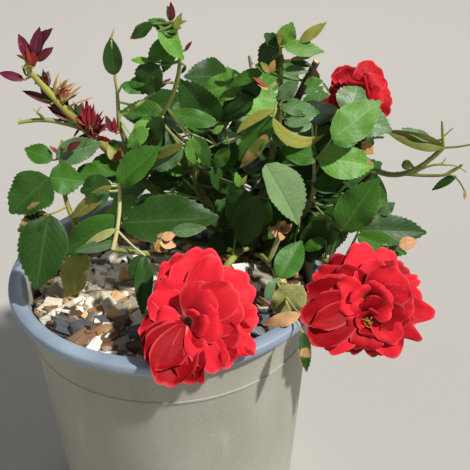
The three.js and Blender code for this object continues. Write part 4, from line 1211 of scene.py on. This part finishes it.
            # the dark leaves on these lines are partly painted shade, filling the shadowed inside over the
            # right part of the rim
            (362, 142, 374, 154, 2, 0.6, "tan"), (322, 220, 305, 264, -8, 0.55, "dark"),
            (319, 214, 334, 260, 0, 0.5, "dark"), (302, 212, 295, 252, 6, 0.5, "dark"),
            (326, 240, 301, 249, -14, 0.5, "mid"), (298, 232, 318, 264, -4, 0.55, "dark"),
            (333, 205, 337, 250, 4, 0.55, "dark"), (338, 232, 320, 247, -10, 0.5, "light"),
        ],
        "wild": (2, 0.3, 60, 30, 19), "more": (12, 0.0, 50, 80, 64), "deep": (20, 0.3, 100, 170, 84),
    },
    "foliage_front": {
        "stem": ("cane_low_front", (82, -40, 234), (0, 0, 1), (2.6, 2), "pale"),
        "sprays": [
            (1, 0, 45, 3, [(50, 40, 34, 0.6, "mid"), (-135, -40, 19, 0.55, "grey")]),
            (0.9, -75, -5, 60, [(-85, -50, 27, 0.36, "dark", {"dry": 0.95})]),
        ],
        "seen": [
            (303, 286, 274, 314, -60, 0.75, "pale", {"fold": 2.0}),
            (300, 314, 261, 328, -84, 0.34, "straw", {"curl": 2.2}),
        ],
    },
    "spent_twigs_right": {
        "stem": ("cane_far_right", (205, 4, 320), (0, 0, -11), (4.6, 3.4), "young"), "slot": "spent_twigs",
        "sprays": [(0.6, -175, 55, 6, [(-160, 0, 7, 0.9, "hip")], 1.5)],
        "sticks": [
            (445, 146, 442, 121, 2, 0, (3.0, 1.4), "young"),
            (447, 137, 453, 128, 2, 0, (1.4, 0.8), "young"),
            (446, 148, 477, 143, 2, -1, (1.8, 1.2), "green"),
            (404, 174, 446, 175, 4, -1, (3.0, 2.0), "green"),
            (443, 175, 462, 165, 4, -1, (2.4, 2.0), "green"),
            (412, 173, 445, 165, 4, 3, (2.4, 1.5), "young"),
            (445, 165, 466, 172, 4, 2, (1.5, 0.9), "young"),
            (441, 164, 446, 158, 4, 0, (1.0, 0.6), "young"),
            (446, 175, 464, 190, 4, 4, (1.6, 1.0), "green"),
        ],
        "seen": [
            (444, 147, 385, 134, 2, 0.27, "olive", {"fold": 2.0, "face": (-90, 10), "dry": 0.4}),
            (432, 141, 403, 127, 4, 0.3, "grey", {"fold": 1.8}), (456, 176, 431, 189, 4, 0.32, "dark"),
            (443, 176, 464, 165, 4, 0.16, "olive"), (464, 189, 465, 200, 4, 0.3, "tan"),
        ],
    },
    "foliage_back_left": {
        "stem": ("cane_back_left", (-26, 116, 330), (0, 0, 4), (4.2, 2.2), "green"),
        "wild": (4, 0.1, 120, 150, 21), "more": (12, 0.0, 90, 170, 65), "deep": (16, 0.4, 60, 170, 85),
        "twigs": (2, 150, 90, 52, 2, 31),
    },
    "foliage_back": {
        "stem": ("cane_back", (66, 146, 344), (0, 2, 4), (4.2, 2.2), "green"),
        "wild": (4, 0.1, 90, 160, 22), "more": (12, 0.0, 80, 170, 66), "deep": (16, 0.4, 60, 170, 86),
        "twigs": (2, 90, 80, 50, 2, 32),
    },
    "foliage_back_right": {
        "stem": ("cane_back_right", (166, 116, 316), (2, 0, 4), (4.2, 2.2), "green"),
        "wild": (5, 0.1, 60, 150, 23), "more": (12, 0.0, 30, 160, 67), "deep": (16, 0.4, 90, 170, 87),
        "twigs": (2, 40, 80, 46, 3, 33),
    },
}


def placeByHand(mass):
    look, dice, stem, skin = mass.look, mass.dice, mass.stem, mass.skin
    limbs.append(stem)
    radii = [w / 2 for w in mass.thick]
    points = rodPoints(rods[12], stem, radii, leafForm["stemRelief"], dice.roll())
    twigs.add(rods[12], points, skin, shade=dice.roll())
    if radii[0] > prickleLook["least"]:
        addPrickles(stem, radii, dice, *prickleLook["stem"])
    for at, azimuth, rise, long, leaflets, *thick in look.get("sprays", []):
        foot = stem.at(at)
        joint = foot + heading(azimuth, rise) * long
        addStalk(foot, joint, (thick[0], thick[0] * 0.7) if thick else leafForm["petiole"], skin)
        for leafAzimuth, leafRise, length, ratio, tint, *form in leaflets:
            direction = heading(leafAzimuth, leafRise)
            if tint == "hip":
                points = joint + direction * length / 2 + bead["points"] * leafForm["hip"] * length
                mass.leaves.add(bead, points, skins["sepal"], shade=0.7)
            else:
                mass.leaf(joint, direction, length, ratio, tint, *form)
    for at, *aim in look.get("tufts", []):
        mass.tuft(stem.at(at), *aim)
    for footX, footY, tipX, tipY, deep, rise, thick, bark in look.get("sticks", []):
        stick = Bow(limbAt(footX, footY), atDepth(tipX, tipY, deep), (0, 0, rise))
        radii = [w / 2 for w in thick]
        points = rodPoints(rods[12], stick, radii, leafForm["stemRelief"], dice.roll())
        twigs.add(rods[12], points, skins["bark_" + bark], shade=0.7)
        limbs.append(stick)
    for footX, footY, tipX, tipY, deep, *leaf in look.get("seen", []):
        foot, tip = atDepth(footX, footY, deep), atDepth(tipX, tipY, deep)
        addStalk(nearestLimb(foot), foot, leafForm["petiole"], skin)
        mass.leaf(foot, unit(tip - foot), np.linalg.norm(tip - foot), *leaf)
    for x, y, deep, footX, footY in look.get("heads", []):
        head, foot = atDepth(x, y, deep), atDepth(footX, footY, deep)
        nodes = (nearestLimb(foot), foot, head)
        for low, high, thick in zip(nodes, nodes[1:], leafForm["headStalks"]):
            addStalk(low, high, thick, skins["bark_pale"], 0.0)
        mass.tuft(head, -90, 50, "spentHead")


def growByRule(mass):
    look, form = mass.look, wildForm
    grown = [leaf for kind in ("wild", "more", "deep") if kind in look
             for leaf in wildLeaves(look[kind], mass.cane if kind == "deep" else mass.stem)]
    if "twigs" in look:
        count, azimuth, swing, long, leaves, seed = look["twigs"]
        turns = Dice(seed)
        for k in range(count):
            foot = mass.stem.at(form["twigFrom"] + form["twigSpan"] * k / count)
            turn = azimuth + swing * (2 * k / (count - 1) - 1) + turns.either(form["twigTurn"])
            tip = foot + heading(turn, turns.between(*form["twigRise"])) * long
            addStalk(foot, tip, form["twigThick"], mass.skin, 0.0)
            rule = (leaves, form["twigFrom"], turn, form["twigSwing"], seed * 10 + k)
            grown += wildLeaves(rule, Bow(foot, tip))
    for leaf in grown:
        growCompound(mass, *leaf)
    mass.leaves.build(look.get("slot", "foliage"), [mass.name])


grown = [Mass(name, look) for name, look in masses.items()]
for mass in grown:
    placeByHand(mass)
for mass in grown:
    growByRule(mass)
twigs.build("green_canes")
print("foliage", len(placed), "leaflets")


# Blooms

petalForm = {
    "rows": 12, "columns": 10, "thick": 0.5, "root": 3.0, "bulgeAt": 0.45, "notch": 0.08, "dome": (0.2, 0.3),
    "claw": 0.24, "taper": 0.20, "point": 0.72, "cup": 0.10, "ruffle": 0.055, "roll": 0.16, "lip": 0.74,
    "crease": 0.05, "skew": 0.10,
}
petalBlade = bladeTemplate(petalForm["columns"], petalForm["rows"])
# A petal's tip lies so far right, up and ahead of the whorl's hub, as one looks into the flower;
# then come its bulge ahead at mid length, its width, how pointed its tip is, its tone from dark
# to light, which is painted shade on petals that lie in shadow and painted light on sunlit ones,
# and how far its lip rolls back, or forward where less than 0
blooms = {
    "bloom_left": {
        "hip": (29, -79, 237), "axis": (-98, 34), "seed": 41, "whorls": [
            {"hub": (20, -100, 243), "axis": (-93, 33), "petals": [
                (-5, 47, -6, 2, 30, 0, 0.2), (-16, 42, -4, 3, 26, 0, 0.6), (32, 34, -4, 3, 30, 0, 0.9),
                (46, 25, -3, 4, 38, 0, 0.9), (48, 8, 0, 4, 30, 0, 0.7), (45, -8, 4, 5, 24, 0, 0.0),
                (46, -17, 6, 6, 24, 0, 0.8), (46, -22, 6, 5, 11, 0.5, 0.5), (34, -25, 8, 8, 26, 0, 0.5),
                (-33, -4, 2, 2, 26, 0, 0.0), (-33, -12, 4, 2, 20, 0, 0.3, -0.9),
                (-28, -20, 10, 4, 24, 0, 0.0, -0.8), (-22, -29, 15, 8, 30, 0, 0.0, -0.9),
                (-13, -40, 16, 10, 32, 0, 0.05, -1.2), (3, -40, 15, 10, 24, 0, 0.0, -0.5),
                (10, -39, 15, 10, 14, 0.4, 0.1), (20, -32, 14, 11, 20, 0, 0.9, -0.6),
                (12, -25, 14, 11, 15, 0, 0.9, 1.4), (28, -27, 13, 11, 18, 0, 0.6),
                (4, -24, 6, 2, 18, 0, 0.0), (6, 52, 0, 3, 36, 0, 0.8, 0.6), (18, 46, 2, 5, 24, 0, 0.6),
                (-18, 30, 2, 4, 26, 0, 0.7, 0.5), (-24, 19, 3, 4, 26, 0, 0.8), (-27, 9, 3, 3, 22, 0, 0.6),
                (-22, -1, 7, 6, 21, 0, 0.95, 0.8), (15, 27, 13, 13, 27, 0, 0.5),
                (30, 26, 12, 12, 28, 0, 0.45), (38, 8, 11, 10, 28, 0, 0.5), (35, -14, 10, 9, 24, 0, 0.4),
                (26, 2, 14, 12, 27, 0, 0.55), (18, -12, 13, 10, 20, 0, 0.3), (5, 10, 13, 6, 10, 0, 0.9),
                (15, -3, 17, 10, 15, 0, 0.5, 1.5), (9, -14, 12, 7, 10, 0, 0.6),
            ]},
        ],
        "heart": {"hub": (18.7, -93, 238.5), "axis": (-93, 33), "long": (3, 6), "count": 9},
    },
    "bloom_right": {
        "hip": (147, -39, 228), "axis": (-98, 20), "seed": 42, "whorls": [
            {"hub": (146.5, -54, 225), "axis": (-94, 30), "petals": [
                (-6, 45, 0, 5, 26, 0), (14, 41, 0, 5, 28, 0), (27, 30, 1, 6, 30, 0),
                (41, 17, 3, 6, 22, 0.25, 0.6), (50, -11, 4, 8, 23, 0.25, 0.5), (43, 3, 0, 5, 26, 0),
                (40, -29, 6, 10, 20, 0.4, 0.4), (24, -39, 8, 12, 25, 0, 0.7), (11, -42, 8, 14, 24, 0, 0.2),
                (-28, -37, 14, 12, 24, 0, 0.8), (-12, -39, 8, 8, 24, 0, 0.0),
                (-43, -27, 18, 12, 28, 0, 0.0, -0.6), (-49, -10, 19, 11, 28, 0, 0.0, -0.8),
                (-46, 8, 12, 7, 28, 0, 0.0, -0.4), (-37, 23, -1, 4, 25, 0, 0.6),
                (-23, 35, -1, 4, 26, 0, 0.0), (-18, 27, 9, 8, 22, 0, 0.2), (25, 22, 12, 10, 34, 0, 0.6),
                (4, 32, 8, 8, 26, 0, 0.8), (33, 2, 12, 10, 28, 0, 0.5), (-34, 14, 10, 8, 22, 0, 0.75),
                (-32, 0, 12, 6, 26, 0, 0.0), (-28, -14, 12, 6, 26, 0, 0.0), (30, -18, 14, 14, 22, 0),
                (-34, -26, 14, 8, 24, 0, 0.0), (-22, -28, 10, 6, 24, 0, 0.0), (-22, 16, 15, 11, 18, 0, 0.8),
                (-9, 12, 19, 12, 18, 0, 0.8), (12, 12, 18, 10, 22, 0, 0.6), (-22, -1, 16, 10, 15, 0, 0.9),
                (18, -4, 19, 12, 20, 0, 0.7), (24, -28, 14, 14, 22, 0, 0.6), (36, -16, 9, 10, 22, 0.3, 0.5),
            ]},
            {"hub": (146.5, -62, 215), "axis": (-92, 24), "petals": [
                (-8, 18, 10, 9, 17, 0), (3, 19, 11, 9, 16, 0), (13, 15, 9, 9, 17, 0), (-17, 6, 9, 9, 17, 0),
                (19, 2, 9, 9, 18, 0), (-14, -8, 12, 11, 17, 0), (15, -12, 12, 11, 18, 0),
                (-3, -21, 14, 15, 24, 0), (8, -21, 11, 13, 20, 0), (-14, -18, 10, 11, 19, 0),
                (7, 8, 14, 9, 12, 0), (-6, 8, 14, 9, 12, 0), (0, -10, 15, 11, 14, 0),
                (-10, 0, 14, 9, 12, 0), (10, -3, 14, 9, 12, 0),
            ]},
        ],
        "heart": {"hub": (146.5, -65, 216), "axis": (-92, 24), "long": (7, 10), "count": 30},
    },
    "bloom_back": {
        "hip": (141, 28, 326), "axis": (62, 52), "seed": 43, "whorls": [
            {"hub": (141, 22, 353.5), "axis": (-90, 35), "petals": [
                (-6, 26, -6, 6, 26, 0, 0.1), (8, 25, -8, 6, 26, 0, 0.2), (21, 23, -8, 6, 26, 0, 0.3),
                (27, 9, -6, 8, 24, 0, 0.4), (26, -5, -4, 8, 24, 0, 0.3), (22, -16, -2, 8, 22, 0, 0.2),
                (-18, 12, -4, 6, 20, 0, 0.0), (-25, -2, -2, 4, 14, 1, 0.1), (-12, 19, -3, 6, 22, 0, 0.1),
                (10, -16, 2, 8, 24, 0, 0.2), (-4, -13, 4, 8, 22, 0, 0.1), (-16, -6, 2, 6, 18, 0, 0.0),
                (-2, 17, 4, 12, 22, 0, 0.2), (12, 17, 4, 13, 24, 0, 0.4), (20, 6, 5, 13, 24, 0, 0.5),
                (16, -8, 6, 13, 22, 0, 0.4), (-10, 8, 6, 12, 20, 0, 0.1), (2, 8, 10, 12, 20, 0, 0.2),
                (9, 2, 11, 12, 20, 0, 0.3), (0, -6, 9, 10, 18, 0, 0.1),
            ]},
        ],
    },
}
hip = {
    "back": 6.5, "front": 5, "neck": (3.2, 5.6), "rod": (4.4, 1.3), "rodShort": 12,
    "sepals": 5, "sepal": 19, "sepalWide": 0.32, "sepalOut": 3, "sepalBack": 0.45, "sepalCurl": 1.6,
}
stamen = {"turn": 2.4, "lean": (0.05, 0.5), "thick": (0.28, 0.2), "head": (0.8, 0.8, 0.6)}


def gaze(axis):
    # Right, up and ahead, for one who looks against the axis
    ahead = heading(*axis)
    right = unit(np.cross(vec(0, 0, 1), ahead))
    return right, np.cross(ahead, right), ahead


def petalPoints(whorl, row, dice):
    form = petalForm
    right, up, ahead = gaze(whorl["axis"])
    tipRight, tipUp, tipAhead, bulge, width, pointed, *look = row
    tip = right * (tipRight + dice.either(1)) + up * (tipUp + dice.either(1)) + ahead * tipAhead
    out = unit(right * tipRight + up * tipUp)
    start = vec(*whorl["hub"]) + out * form["root"] + ahead * 0.15 * tipAhead
    end = vec(*whorl["hub"]) + tip
    middle = start + (end - start) * form["bulgeAt"] + ahead * bulge
    p = petalBlade["points"]
    a, t = p[:, 0], (p[:, 1] + 1) / 2   # a from -1 to 1 across the petal, t from 0 to 1 along it
    # Its outline: a narrow claw, a broad blade and a domed, notched or pointed tip
    notch, dome = dice.between(0.0, form["notch"]) * (1 - pointed), dice.between(*form["dome"])
    u = t * (1 - dome * np.abs(a) ** 2.4 * t ** 2 - notch * np.exp(-(a / 0.2) ** 2) * t ** 4)
    half = width / 2 * (form["claw"] + (1 - form["claw"]) * np.sin(np.pi / 2 * np.clip(t * 1.65, 0, 1)))
    half = half * (1 - form["taper"] * np.clip(t - 0.75, 0, 1) / 0.25)
    half = half * (1 - form["point"] * pointed * np.clip(t - 0.5, 0, 1) / 0.5)
    # Its middle line, from the hub to its tip
    w = u[:, None]
    line = (1 - w) ** 2 * start + 2 * w * (1 - w) * middle + w * w * end
    along = normed((1 - w) * (middle - start) + w * (end - middle))
    side = normed(np.cross(along, ahead))
    face = np.cross(side, along)
    # Its ruffles, cup, rolled lip and crease
    phases = [dice.between(0, 6.28) for _ in range(4)]
    ripple = (np.sin(2.4 * a + phases[0] + 2 * t) + 0.7 * np.sin(5.0 * a + phases[1] + 3 * t)
              + 0.35 * np.sin(9 * a + phases[2]))
    rim = t ** 1.8 * (0.3 + 0.7 * np.abs(a))
    roll = dice.between(-0.3, 1.0)
    roll = form["roll"] * width * (look[1] if len(look) > 1 else roll)
    curled = np.clip(t - form["lip"], 0, 1) / (1 - form["lip"])
    cup = form["cup"] * width * a * a * (1 - 0.4 * t)
    lift = cup + form["ruffle"] * width * ripple * rim - roll * (curled ** 2 + 0.5 * a ** 4 * t)
    bent = np.exp(-((a - 0.3 * math.cos(phases[3])) / 0.2) ** 2)
    crease = form["crease"] * width * math.sin(phases[3]) * bent * t
    skew = form["skew"] * math.sin(phases[2]) * width * t * t
    thick = form["thick"] / 2 * p[:, 2]
    return line + side * (a * half + skew)[:, None] + face * (lift + crease + thick)[:, None]


def makeStamens(name, look, dice):
    hearts, hub = Piece(name + "_heart"), vec(*look["hub"])
    right, _, axis = gaze(look["axis"])
    for k in range(look["count"]):
        lean = turned(right, axis, k * stamen["turn"]) * dice.between(*stamen["lean"])
        tip = hub + unit(axis + lean) * dice.between(*look["long"])
        stem = rodPoints(stalkRod, Bow(hub, tip), stamen["thick"])
        hearts.add(stalkRod, stem, skins["stamen"], shade=0.9)
        hearts.add(bead, tip + bead["points"] * stamen["head"], skins["stamen"], shade=dice.roll() * 0.4)
    hearts.build("stamens")


def makeHip(name, bloom, dice):
    cup, skin = Piece(name + "_hip"), skins["sepal"]
    axis, seat = heading(*bloom["axis"]), vec(*bloom["hip"])
    neck = Bow(seat - axis * hip["back"], seat + axis * hip["front"])
    cup.add(rods[12], rodPoints(rods[12], neck, hip["neck"]), skin, shade=0.4)
    for whorl in bloom["whorls"]:
        short = vec(*whorl["hub"]) - heading(*whorl["axis"]) * hip["rodShort"]
        cup.add(rods[12], rodPoints(rods[12], Bow(seat, short), hip["rod"]), skin, shade=0.4)
    across = unit(np.cross(axis, vec(0, 0, 1)))
    blade = blades["short"]
    for k in range(hip["sepals"]):
        out = turned(across, axis, 2 * math.pi * k / hip["sepals"])
        points = bladePoints(blade, seat + out * hip["sepalOut"], unit(out - hip["sepalBack"] * axis),
                             hip["sepal"], hip["sepalWide"], -axis, dice, 0.0, hip["sepalCurl"])
        cup.add(blade, points, skin, shade=dice.roll(), uv=blade["uv"])
    cup.build("foliage")


def makeBloom(name, bloom):
    dice = Dice(bloom["seed"])
    petals = Piece(name + "_petals")
    for whorl in bloom["whorls"]:
        for row in whorl["petals"]:
            points, tone = petalPoints(whorl, row, dice), dice.roll()
            # a listed tone is painted shade or painted light for that petal; the rest get a random tone
            shade = row[6] if len(row) > 6 else tone
            petals.add(petalBlade, points, petalSkin, shade=shade, uv=petalBlade["uv"])
    petals.build("petals", [name], 60)
    if "heart" in bloom:
        makeStamens(name, bloom["heart"], dice)
    makeHip(name, bloom, dice)


for name, bloom in blooms.items():
    makeBloom(name, bloom)
prickles.build("green_canes")
print("blooms and prickles")


# Camera, floor and light

light = {
    "key": {"place": (1.12, -0.66, 1.80), "kind": "SUN", "power": 4.8, "angle": math.radians(3.0)},
    "fill": {"place": (-1.5, -1.3, 1.2), "kind": "AREA", "power": 3, "size": 1.6},
    "back": {"place": (0.2, 1.5, 1.5), "kind": "AREA", "power": 8, "size": 1.4},
}
stage = {
    "target": (0.05, 0, 0.28), "floor": "#a9a59e", "floorSize": 9, "sky": (0.93, 0.96, 1.0, 1.0),
    "skyPower": 0.19, "film": 36,
}


def makeStage():
    bm = bmesh.new()
    bmesh.ops.create_grid(bm, x_segments=1, y_segments=1, size=stage["floorSize"])
    paint = Paint("floor_pale", Roughness=0.8)
    floor = show("floor", asMesh(bm, "floor", paint.finish(colour(stage["floor"]))))
    for name, look in light.items():
        lamp = bpy.data.lights.new(name, look["kind"])
        lamp.energy = look["power"]
        for key in ("angle", "size"):
            if key in look:
                setattr(lamp, key, look[key])
        holder = show(name, lamp)
        holder.location = look["place"]
        sight = Vector(stage["target"]) - Vector(look["place"])
        holder.rotation_euler = sight.to_track_quat("-Z", "Y").to_euler()
    world = bpy.context.scene.world or bpy.data.worlds.new("studio")
    bpy.context.scene.world = world
    world.use_nodes = True
    sky = world.node_tree.nodes["Background"]
    sky.inputs["Color"].default_value = stage["sky"]
    sky.inputs["Strength"].default_value = stage["skyPower"]
    camera = bpy.data.cameras.new("camera")
    camera.sensor_width = stage["film"]
    camera.lens = stage["film"] * view["focal"] / view["frame"]
    holder = show("camera", camera)
    holder.location = Vector(view["place"]) * mm
    holder.rotation_euler = (math.radians(90 - view["pitch"]), 0, 0)
    holder.rotation_euler.rotate_axis("Z", math.radians(view["roll"]))
    bpy.context.scene.camera = holder


makeStage()
bpy.context.scene.view_settings.view_transform = "Standard"
print("stage")
